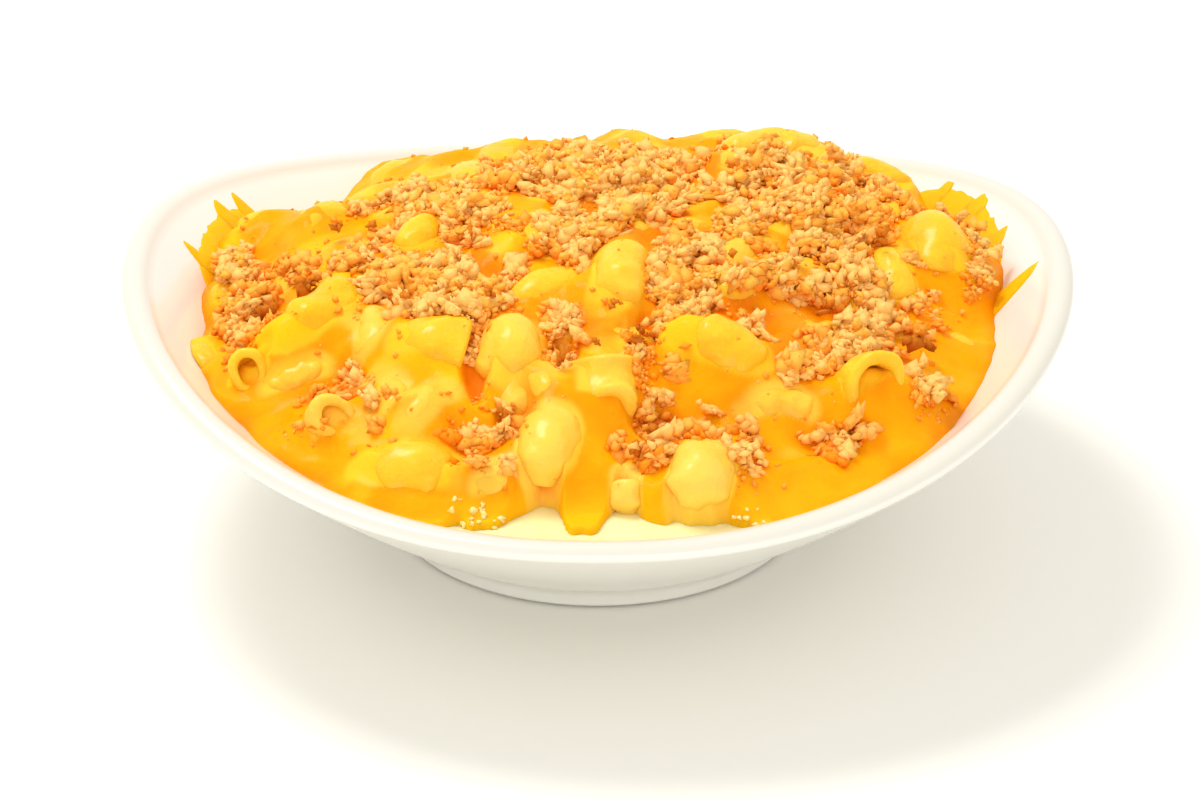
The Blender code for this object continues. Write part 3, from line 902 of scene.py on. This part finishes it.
strips = [tatter(*row).reshape(-1, 3) for row in TATTERS]
one = grid_faces(2 * STRIP_ROWS, STRIP_COLUMNS, close_rows=True)
side = np.arange(STRIP_ROWS)
rows = np.stack((side[:-1], side[1:], 2 * STRIP_ROWS - 2 - side[:-1], 2 * STRIP_ROWS - 1 - side[:-1]), -1)
ends = np.concatenate((rows * STRIP_COLUMNS, rows[:, ::-1] * STRIP_COLUMNS + STRIP_COLUMNS - 1))
one = np.concatenate((one, ends))
faces = (one[None] + (2 * STRIP_ROWS * STRIP_COLUMNS * np.arange(len(strips)))[:, None, None]).reshape(-1, 4)
points = np.concatenate(strips)
tatters = make_mesh("cheese_tatters", points, [faces], melted, {"film": np.full(len(points), 0.8)})
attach(tatters, "root")
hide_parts("macaroni_heap")

# %% [markdown]
# Each elbow is a closed skin: a loop that runs along the outside, round the cut end, back through the
# bore and round the other end, carried round the tube. Cooked pasta is soft, so the tube is a little
# flattened, its ends are pinched and its skin is wavy. Where cheese coats an elbow its ends are drawn
# in, and where it would enter the bowl's wall it is pressed back inside.

# %% Pasta material
pasta, tree, shader = new_material(
    "cooked_macaroni",
    IOR=1.42,
    Subsurface_Weight=0.5,
    Subsurface_Radius=(0.8, 0.6, 0.2),
    Subsurface_Scale=0.0015,
    Specular_IOR_Level=0.04,
    Coat_Weight=0.3,
    Coat_Roughness=0.2,
)
colour = wear_skin(
    tree,
    shader,
    0.65,
    0.0012,
    Tone_A=(0.99, 0.46, 0.005, 1),
    Tone_B=(0.99, 0.61, 0.018, 1),
    Fleck=(0.99, 0.74, 0.13, 1),
    Patch_Scale=150.0,
    Grain_Scale=800.0,
    Fleck_Amount=0.40,
    Roughness=0.32,
)
pale = mix_colour(tree, point_value(tree, "paleness"), colour, (0.99, 0.63, 0.10, 1))
# cheese coat, also painted shade: orange on the lower sides of each elbow
coated_and_shaded = mix_colour(tree, point_value(tree, "coat_and_shade"), pale, (0.99, 0.46, 0.004, 1))
# painted shade: deep orange where the pasta lies below the smoothed cheese
shaded_below = mix_colour(tree, point_value(tree, "crevice_shade"), coated_and_shaded, (0.95, 0.22, 0.001, 1))
tree.links.new(shaded_below, shader.inputs["Base Color"])


# %% Elbow meshes
TUBE_WALL = 0.57  # radius of the bore as a share of the tube's
RIM_BULGE = 0.035  # how far the cut ends round out, as a share of the length
BULGE_LENGTH = 24 * MM  # the length that this share is taken of
BACK_POINTS = 8  # along the bore


def elbow_loop(along, wall):
    """Stations of the closed loop: share of the length, and radius as a share of the tube's radius."""
    out = np.linspace(0.0, 1.0, along)
    rim = np.linspace(0, np.pi, 5)[1:-1]
    thickness = (1 - wall) / 2
    rim_radius = (1 + wall) / 2 + thickness * np.cos(rim)
    rim_length = RIM_BULGE * np.sin(rim)
    back = np.linspace(1.0, 0.0, BACK_POINTS)
    share = np.concatenate((out, 1 + rim_length, back, -rim_length))
    radius = np.concatenate((np.ones(along), rim_radius, np.full(BACK_POINTS, wall), rim_radius[::-1]))
    return share, radius


def elbow_skin(shape, number, around, along, is_open):
    """Points of one elbow's closed skin: its loop carried round the tube, pinched and wavy.

    The ends are drawn in unless the elbow is open."""
    path, outward, across, tube, paleness, _ = shape
    share, radius = elbow_loop(along, TUBE_WALL)
    place = np.linspace(0, 1, len(path))
    ends = np.clip(share, 0, 1)
    centre = np.stack([np.interp(ends, place, path[:, i]) for i in range(3)], -1)
    out = unit(np.stack([np.interp(ends, place, outward[:, i]) for i in range(3)], -1))
    forward = unit(np.cross(across, out))
    way = np.sign(np.dot(path[-1] - path[0], forward[0]))
    centre += forward * ((share - ends) * BULGE_LENGTH)[:, None] * way
    turn = np.arange(around) * 2 * np.pi / around
    pinch = 1 - 0.10 * np.cos(2 * turn[None] + number) * (0.4 + np.abs(2 * ends - 1) ** 2)[:, None]
    drawn_in = 1.0 if is_open else 1 - 0.5 * step(np.abs(2 * ends - 1), 0.5, 1.05)[:, None]
    reach = radius[:, None] * tube * pinch * drawn_in
    cos, sin = np.cos(turn)[None, :, None], np.sin(turn)[None, :, None]
    points = centre[:, None] + reach[..., None] * (cos * out[:, None] + sin * across)
    wobble = waves(points, 11 * MM, number) * 0.34 * MM + waves(points, 4 * MM, number + 99) * 0.13 * MM
    return points + wobble[..., None] * (cos * out[:, None] + sin * across)


def inside_wall(points):
    """The points, moved towards the middle where they would enter the bowl's wall: pasta gives way there."""
    reach = np.hypot(points[:, 0], points[:, 1])
    angle = np.arctan2(points[:, 1], points[:, 0])
    share = np.minimum(1, (cavity_radius(angle, points[:, 2]) - 0.2 * MM) / np.maximum(reach, MM))
    return points * np.stack((share, share, np.ones(len(points))), -1)


def elbow_piece(name, shapes, around, along, open_ones, surface):
    """All the elbows of a group in one mesh, with how pale each is, how much cheese coats each point and
    paints shade on its lower side, and how deep painted shade lies below the cheese.
    """
    skins = [
        elbow_skin(shape, number, around, along, number < open_ones) for number, shape in enumerate(shapes)
    ]
    loops = len(skins[0])
    faces = grid_faces(loops, around, close_rows=True, close_columns=True)
    faces = (faces[None] + (np.arange(len(skins)) * loops * around)[:, None, None]).reshape(-1, 4)
    points = inside_wall(np.concatenate([skin.reshape(-1, 3) for skin in skins]))
    over = points[:, 2] - look_up(cheese, points[:, 0], points[:, 1])
    # cheese coat and painted shade: orange up to 3.2 mm above the cheese, fading upwards
    coat_and_shade = 0.7 * (1 - step(over + 0.4 * MM * waves(points, 7 * MM, 5), -1.6 * MM, 3.2 * MM))
    paleness = np.repeat([shape[4] for shape in shapes], loops * around)
    # painted shade: the deeper a point lies below the smoothed cheese, the deeper its orange
    below = step((look_up(soft, points[:, 0], points[:, 1]) - points[:, 2]) / MM, 0.5, 5)
    values = {"coat_and_shade": coat_and_shade, "paleness": paleness, "crevice_shade": below}
    return make_mesh(name, points, [faces[:, ::-1]], surface, values)


chosen = [shape for shape in elbows if shape[5]]
fillers = [shape for shape in elbows if not shape[5]]
for piece in (
    elbow_piece("macaroni_on_top", chosen, 36, 30, OPEN_ELBOWS, pasta),
    elbow_piece("macaroni_below", fillers, 22, 16, 0, pasta),
):
    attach(piece, "root")
    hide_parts("macaroni_heap")

# %% [markdown]
# Cream sauce is a still liquid. Its surface is level and curls up where it wets the wall. It reaches
# just into the wall, so no gap shows, and it is a closed body like the cheese.

# %% Cream sauce
cream, tree, shader = new_material(
    "cream_sauce",
    IOR=1.4,
    Subsurface_Weight=0.5,
    Subsurface_Radius=(1.0, 0.8, 0.4),
    Subsurface_Scale=0.003,
    Coat_Weight=0.3,
    Coat_Roughness=0.1,
)
colour = wear_skin(
    tree,
    shader,
    0.12,
    0.001,
    Tone_A=(1.0, 0.93, 0.42, 1),
    Tone_B=(1.0, 0.96, 0.55, 1),
    Fleck=(1.0, 0.98, 0.75, 1),
    Patch_Scale=60.0,
    Grain_Scale=500.0,
    Fleck_Amount=0.2,
    Roughness=0.24,
)
tree.links.new(colour, shader.inputs["Base Color"])


SAUCE_RINGS = 40
SAUCE_SIDE_RINGS = 12
CURL_HEIGHT = 0.9 * MM
CURL_LENGTH = 1.1  # mm from the wall over which the curl fades
POOL_RADIUS = 88  # mm, roughly: turns a share of the radius into that distance


def sauce_body(name, surface, rings, columns):
    """A level disc whose rim curls up the wall, over sides that follow the wall down to the floor."""
    angle = np.arange(columns) * 2 * np.pi / columns
    u = np.linspace(0.55, 1.006, rings)[:, None]
    wall = cavity_radius(angle, SAUCE_LEVEL)[None]
    curl = CURL_HEIGHT * np.exp(-(1 - u) * POOL_RADIUS / CURL_LENGTH) * np.ones_like(wall)
    radius = u * (wall + 0.3 * MM) + 1.2 * curl * u
    top = np.stack((radius * np.cos(angle), radius * np.sin(angle), SAUCE_LEVEL + curl), -1)
    levels = np.linspace(SAUCE_LEVEL - 2 * MM, 9 * MM, SAUCE_SIDE_RINGS)[:, None]
    side = cavity_radius(angle[None], levels) + 0.2 * MM
    lower = np.stack((side * np.cos(angle), side * np.sin(angle), levels * np.ones_like(side)), -1)
    points = np.concatenate((top, lower)).reshape(-1, 3)
    poles = np.array(((0, 0, SAUCE_LEVEL), (0, 0, 8 * MM)))
    faces = turned_faces(rings + SAUCE_SIDE_RINGS, columns)
    return make_mesh(name, np.concatenate((points, poles)), faces, surface)


sauce = sauce_body("cream_sauce_pool", cream, SAUCE_RINGS, BOWL_COLUMNS)
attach(sauce, "root")
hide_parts("cream_sauce")

# %% [markdown]
# Coarse dry breadcrumbs are torn and frayed. Here a crumb is a cluster of small eight-sided lumps, which
# is rounder than a torn flake. Forty crumbs of each kind are made, and thousands of turned and scaled
# copies are dropped on the heap: thickly over the top and the back, thinly at the front, in clusters,
# and hardly any on the bare elbows. Small pale curds at the edge of the cream are made the same way.


# %% Crumb material
def crumb_material(name, light, dark, grain):
    """Toasted bread: each lump has its own tone between light and dark, darker as painted shade in the
    crumb's own hollows, low in the pile and beneath.
    """
    made, tree, shader = new_material(name, IOR=1.4, Specular_IOR_Level=0.02)
    colour = wear_skin(
        tree,
        shader,
        0.5,
        0.0006,
        Tone_A=light,
        Tone_B=light,
        Fleck=dark,
        Patch_Scale=500.0,
        Grain_Scale=grain,
        Fleck_Amount=0.35,
        Roughness=0.6,
    )
    toned = mix_colour(tree, point_value(tree, "toast_and_shade"), colour, dark)
    tree.links.new(toned, shader.inputs["Base Color"])
    return made


toasted = crumb_material("toasted_crumb", (1.0, 0.50, 0.075, 1), (0.97, 0.26, 0.005, 1), 1400.0)
pale_toast = crumb_material("pale_crumb", (1.0, 0.60, 0.165, 1), (1.0, 0.36, 0.02, 1), 1400.0)
curd = crumb_material("curd", (1.0, 0.90, 0.45, 1), (1.0, 0.74, 0.18, 1), 900.0)
dark_toast = crumb_material("dark_crumb", (0.72, 0.22, 0.018, 1), (0.36, 0.07, 0.005, 1), 1400.0)

# %% Crumb shapes
LUMP = np.concatenate((np.eye(3), -np.eye(3)))
EIGHTHS = [(i, j, k) for i in (0, 3) for j in (1, 4) for k in (2, 5)]
LUMP_FACES = np.array([t if np.linalg.det(LUMP[list(t)]) > 0 else t[::-1] for t in EIGHTHS])
LUMP_SIZE = len(LUMP)
CRUMB_LUMPS = 12
CRUMB_KINDS = 40
# the core's size and the range of the other lumps', as shares of half a crumb
CORE_SIZE = 0.7
LUMP_SIZES = (0.3, 0.6)
# how the walk from lump to lump is drawn back to the middle, and its step along each axis
WALK_PULL = 0.78
WALK_STEP = (0.6, 0.5, 0.4)
FLATTENING = 0.6
# how much darker a crumb is: by chance and where the top browned; low in the pile, in its hollows and
# beneath, as painted shade
CHANCE_TONE = 0.55
BURIED_SHADE = 0.45
BROWNED_TONE = 0.4
HOLLOW_SHADE = 0.35
UNDER_SHADE = 0.4


def crumb_shape(random, lumps):
    """A crumb about two across, and how far each corner sticks out: small lumps along a flat walk."""
    parts, tips = [], []
    place = np.zeros(3)
    for number in range(lumps):
        tips.append(random.uniform(0.6, 1.4, (LUMP_SIZE, 1)))
        ragged = LUMP * tips[-1] * random.uniform(0.6, 1.3, 3)
        turns, _ = np.linalg.qr(random.normal(size=(3, 3)))
        turns *= np.sign(np.linalg.det(turns))
        size = random.uniform(*LUMP_SIZES) if number else (CORE_SIZE if lumps > 1 else 1.0)
        parts.append(size * ragged @ turns.T + place)
        place = place * WALK_PULL + unit(random.normal(size=3)) * WALK_STEP
    flat = FLATTENING if lumps > 1 else 0.8
    return np.concatenate(parts) * (1, 1, flat), np.concatenate(tips)[:, 0]


def scatter_crumbs(name, places, sizes, lumps, surface, seed, darkness, tumble=0.6):
    """Copies of chance crumbs at given places and sizes, tipped a little, turned freely and each toned, with
    painted shade low in the pile, in hollows and beneath.
    """
    random = np.random.default_rng(seed)
    height = places[:, 2] - look_up(surface_height, places[:, 0], places[:, 1])
    buried = 1 - np.clip(height / MM, 0, 1)
    shapes, tips = (np.stack(part) for part in zip(*[crumb_shape(random, lumps) for _ in range(CRUMB_KINDS)]))
    pick = random.integers(0, len(shapes), len(places))
    up = unit(random.normal(size=(len(places), 3)) * tumble + (0, -0.15, 1))
    side = unit(np.cross(up, random.normal(size=up.shape)))
    spins = np.stack((side, np.cross(up, side), up), -1)
    corners = np.einsum("nij,nkj->nki", spins, shapes[pick]) * sizes[:, None, None] / 2
    points = (corners + places[:, None]).reshape(-1, 3)
    starts = LUMP_SIZE * np.arange(len(places) * lumps)
    faces = (LUMP_FACES[None] + starts[:, None, None]).reshape(-1, 3)
    # painted shade: crumbs low in the pile are darker
    tone = random.uniform(0, CHANCE_TONE, len(places)) ** 1.5 + BURIED_SHADE * buried + darkness
    tone = np.repeat(tone + BROWNED_TONE * look_up(browned, places[:, 0], places[:, 1]), lumps)
    tone = np.repeat(tone + random.uniform(-0.12, 0.15, len(tone)), LUMP_SIZE)
    # painted shade: darker in each crumb's hollows and on its underside
    under = np.clip(-2 * corners[..., 2] / sizes[:, None], -1, 1).ravel()
    tone = np.clip(tone + HOLLOW_SHADE * (0.9 - tips[pick].ravel()) + UNDER_SHADE * under, 0, 1)
    return make_mesh(name, points, [faces], surface, {"toast_and_shade": tone})


# %% Where the crumbs lie
# centre and half-axes in mm, turn in degrees, weight
CRUMB_COVER = (
    (20, 28, 48, 34, 0, 1.0),
    (38, -8, 30, 26, 0, 1.0),
    (0, -4, 34, 16, 0, 1.0),
    (-36, -16, 18, 22, 10, 1.0),
    (-28, -32, 12, 7, 0, 1.0),
    (-36, 22, 18, 14, -25, 1.0),
    (-72, -22, 9, 18, 10, 1.0),
    (-60, -6, 14, 9, 0, 0.9),
    (-77, 8, 6, 12, 10, 0.9),
    (-50, 14, 9, 7, 0, 1.0),
    (16, -28, 7, 20, 0, 1.0),
    (46, -26, 17, 16, 0, 1.0),
    (79, 8, 4, 14, 0, 0.7),
    (66, -33, 4, 4, 0, 0.9),
    (67, -52, 5, 5, 0, 0.6),
    (69, -46, 4, 4, 0, 1.0),
    (51, -44, 7, 4, 20, 0.9),
    (40, -45, 6, 4, 0, 0.7),
    (9, -45, 3.0, 7, 0, 0.9),
    (-8, -48, 3.0, 8, 0, 0.85),
    (-7, -36, 4, 9, 0, 1.0),
    (11, -58, 5, 6, 0, 0.7),
    (15, -67, 12, 8, -10, 1.0),
    (29, -70, 5, 8, 0, 0.9),
    (48, -62, 5, 4.5, 10, 0.9),
    (69, -22, 6, 5, 0, 0.7),
    (-24, -71, 9, 8, 0, 1.0),
    (-24, -50, 3, 9, 0, 0.5),
    (-18, -62, 3, 5, 0, 0.6),
    (-45, -58, 8, 6, 0, 1.0),
    (-51, -49, 6, 8, 0, 0.9),
    (-58, -57, 6, 8, 10, 1.0),
    (-36, -57, 3, 2, 0, 0.5),
    (18, -86, 4, 3, 0, 0.3),
    (27, -84, 6, 2.5, 15, 0.3),
)
NO_CRUMBS = (
    (-15, 15, 7, 13, 0, 1.0),
    (-11, -15, 5, 12, 0, 1.0),
    (-2, 18, 3.5, 9, 0, 0.9),
    (11, -2, 5, 9, 0, 0.95),
    (20, 11, 6, 11, 0, 1.0),
    (21, -14, 4, 6, 0, 0.8),
    (30, -12, 6.5, 9, 0, 1.0),
    (39, -29, 8, 8, 0, 1.0),
    (46, -11, 5, 7, 0, 0.9),
    (38, 51, 18, 9, 0, 1.0),
    (25, -29, 4.5, 6, 0, 0.75),
    (-26, 37, 6, 7, 0, 0.8),
    (-66, 28, 7, 6, 0, 1.0),
    (-50, 39, 8, 8, 0, 1.0),
    (-36.5, -8, 3.5, 12, 0, 0.8),
    (-58, 4, 4, 9, 0, 0.85),
    (-53, -57, 5, 5, 0, 0.9),
    (-70, 44, 26, 11, -55, 1.0),
    (-45, 66, 20, 9, 30, 1.0),
    (64, 60, 20, 10, -40, 1.0),
)
# x, y and size in mm of the few that stand out
LARGE_CRUMBS = (
    (68, -46, 6.5),
    (64, -45, 5.0),
    (-35, -34, 6.5),
    (-25, -34, 7.0),
    (-29, -36, 6.0),
    (40, -45, 5.5),
    (30, -38, 6.0),
    (33, -34, 5.5),
    (47, -18, 6.5),
    (54, -43, 6.0),
    (49, -44, 5.5),
    (-24, -76, 6.0),
    (-45, -57, 6.0),
    (23, -58, 5.5),
    (27, -73, 6.0),
)
# the same for the bits that burnt
BURNT_BITS = (
    (-61, -21, 4.6),
    (-60, -18, 3.6),
    (-27, -31, 3.2),
    (-22, -30, 3.4),
    (-39, -32, 2.6),
    (-56, 6, 3.4),
    (-48, 11, 2.6),
    (-27, 0, 3.0),
    (60, -2, 3.6),
    (61, 5, 4.0),
    (48, -23, 2.8),
    (46, -30, 2.4),
    (65, -34, 4.4),
    (68, -32, 3.0),
    (7, -71, 3.4),
    (11, -66, 3.0),
    (3, -34, 2.6),
    (0, -46, 2.0),
    (-18, -65, 3.6),
    (-18, -62, 3.0),
    (-69, -19, 4.2),
    (-66, -27, 3.4),
    (28, -15, 3.0),
    (-7, -52, 3.4),
    (8, -46, 3.6),
    (9, -40, 3.0),
)
# where the crumbs took more colour in the oven: centre and half-axes in mm, turn in degrees, weight
MORE_TOASTED = (
    (-70, -18, 14, 22, 10, 0.9),
    (14, -65, 14, 10, 0, 1.0),
    (-24, -68, 9, 12, 0, 0.8),
    (9, -42, 5, 12, 0, 0.9),
    (64, -30, 8, 8, 0, 0.8),
    (-52, -52, 12, 8, 0, 0.6),
    (48, -62, 8, 7, 0, 0.8),
    (69, -22, 9, 7, 0, 1.0),
    (46, 12, 14, 10, 0, 0.4),
)
# the same for the bits of curd at the edge of the cream
CURDS = (
    (-22, -83, 9, 3, -10, 0.5),
    (-11, -83, 5, 2, 0, 0.4),
    (8, -82, 5, 3, 0, 0.3),
    (24, -85, 9, 3, 10, 0.5),
)
browned = ellipses(MORE_TOASTED)
surface_height = np.maximum(cheese, tops)
# clean: the elbows that carry almost no crumbs; clumps: the chance gathering of crumbs
clean = blur(((owner >= 0) & (owner < CLEAN_ELBOWS)).astype(float), 0.8 * MM)
crumb_cover = ellipses(CRUMB_COVER) * (1 - ellipses(NO_CRUMBS)) * (1 - step(share, 0.91, 0.965))
crumb_cover = crumb_cover * (1 - 0.97 * clean)
clumps = 1 / (1 + np.exp(-4.5 * (clouds(2.4 * MM, 21) + 0.4 * clouds(8 * MM, 22) + 0.4)))
crumb_cover = crumb_cover * clumps
pile = blur(crumb_cover, 1.2 * MM) * 1.8 * MM


def drop(count, seed, power=1.0, floor=0.0, stack=1.0, cover=crumb_cover, tries_each=14):
    """Places for a number of crumbs: chance points kept where the cover is dense, resting on the heap."""
    random = np.random.default_rng(seed)
    tries = random.uniform(-95 * MM, 95 * MM, (count * tries_each, 2))
    chance = np.maximum(look_up(cover, *tries.T) ** power, floor * (look_up(share, *tries.T) < 0.93))
    kept = tries[random.uniform(size=len(tries)) < chance][:count]
    rise = random.uniform(0, 1, len(kept)) * look_up(pile, *kept.T) * stack
    return np.column_stack((kept, look_up(surface_height, *kept.T) + rise)), random


def settle(rows, lift=0.0):
    """Places and sizes in metres of crumbs given by x, y and size in mm, at the pile's height plus a lift."""
    x, y, size = np.array(rows).T * MM
    height = look_up(surface_height, x, y) + look_up(pile, x, y) + 0.3 * size + lift
    return np.column_stack((x, y, height)), size


COARSE_SIZES = (3.4, 7.8)
SMALL_SIZES = (0.9, 2.4)
GRAIN_SIZES = (0.35, 0.9)
DARK_SIZES = (1.0, 2.4)
CURD_SIZES = (1.2, 3.0)
BURNT_LIFT = 2.5 * MM  # stands the burnt bits clear of the pile; over a thin pile they hang free of it
BURNT_GROWTH = 1.3
coarse_places, random = drop(950, 31, 1.3)
coarse_sizes = random.uniform(*COARSE_SIZES, len(coarse_places)) * MM
coarse = scatter_crumbs("coarse_crumbs", coarse_places, coarse_sizes, CRUMB_LUMPS, toasted, 41, 0.0)
light_places, random = drop(1150, 32, 1.1, stack=1.25)
light_sizes = random.uniform(*COARSE_SIZES, len(light_places)) * MM
large_places, large_sizes = settle(LARGE_CRUMBS)
light = scatter_crumbs(
    "pale_crumbs",
    np.concatenate((light_places, large_places)),
    np.concatenate((light_sizes, large_sizes)),
    CRUMB_LUMPS,
    pale_toast,
    42,
    -0.1,
)
small_places, random = drop(5200, 33, 1.0, floor=0.012)
small_sizes = random.uniform(*SMALL_SIZES, len(small_places)) * MM
small = scatter_crumbs("small_crumbs", small_places, small_sizes, 1, toasted, 43, 0.1)
dust_places, random = drop(5000, 34, 0.7, floor=0.02, stack=0.6)
dust_sizes = random.uniform(*GRAIN_SIZES, len(dust_places)) * MM
dust = scatter_crumbs("crumb_grains", dust_places, dust_sizes, 1, pale_toast, 44, 0.0, 2.0)
dark_places, random = drop(90, 35, 1.6, stack=1.0)
dark_sizes = random.uniform(*DARK_SIZES, len(dark_places)) * MM
burnt_places, burnt_sizes = settle(BURNT_BITS, BURNT_LIFT)
dark = scatter_crumbs(
    "dark_bits",
    np.concatenate((dark_places, burnt_places)),
    np.concatenate((dark_sizes, BURNT_GROWTH * burnt_sizes)),
    7,
    dark_toast,
    45,
    0.0,
    2.0,
)
curd_places, random = drop(70, 36, stack=0.0, cover=ellipses(CURDS) * (1 - clean), tries_each=600)
curd_sizes = random.uniform(*CURD_SIZES, len(curd_places)) * MM
curds = scatter_crumbs("curds_at_the_edge", curd_places, curd_sizes, 3, curd, 46, 0.0)
for piece in (coarse, light, small, dust, dark, curds):
    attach(piece, "root")
    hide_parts("macaroni_heap")

# %% [markdown]
# A dish like this is shown on a white table under large soft lamps, so that it hardly casts a shadow. A
# plain pale floor, a pale surround, a soft light overhead and a weaker one low in front do the same
# here. The camera stands well back and looks down at the front.

# %% Floor
paper, tree, shader = new_material("pale_floor", Roughness=0.6)
shader.inputs["Base Color"].default_value = (0.95, 0.93, 0.87, 1)
bpy.ops.mesh.primitive_plane_add(size=6, location=(0, 0, -0.0004))
floor = bpy.context.object
floor.name = "floor"
floor.data.materials.append(paper)

# %% Light
scene = bpy.context.scene
scene.view_settings.view_transform = "Standard"
scene.view_settings.look = "None"
world = bpy.data.worlds.new("pale_room")
world.use_nodes = True
world.node_tree.nodes["Background"].inputs["Color"].default_value = (1.0, 0.99, 0.97, 1)
world.node_tree.nodes["Background"].inputs["Strength"].default_value = 0.93
scene.world = world


def soft_light(name, place, target, size, power):
    """A square area light that faces a target point."""
    lamp = bpy.data.lights.new(name, "AREA")
    lamp.size = size
    lamp.energy = power
    made = bpy.data.objects.new(name, lamp)
    scene.collection.objects.link(made)
    made.location = place
    made.rotation_euler = (Vector(target) - Vector(place)).to_track_quat("-Z", "Y").to_euler()


soft_light("softbox_above", (-0.30, 0.25, 0.90), (0, 0, 0.04), 0.34, 5.0)
soft_light("softbox_front", (0.1, -1.0, 0.08), (0, 0, 0.01), 0.6, 2.6)

# %% Camera
CAMERA_ELEVATION = np.radians(26.9)
CAMERA_DISTANCE = 0.861
TARGET = np.array((0.00055, 0.0, 0.0259))
lens = bpy.data.cameras.new("camera")
lens.lens = 120
lens.sensor_width = 36
camera = bpy.data.objects.new("camera", lens)
scene.collection.objects.link(camera)
behind = np.array((0, -np.cos(CAMERA_ELEVATION), np.sin(CAMERA_ELEVATION)))
camera.location = TARGET + CAMERA_DISTANCE * behind
camera.rotation_euler = (np.pi / 2 - CAMERA_ELEVATION, 0, 0)
scene.camera = camera
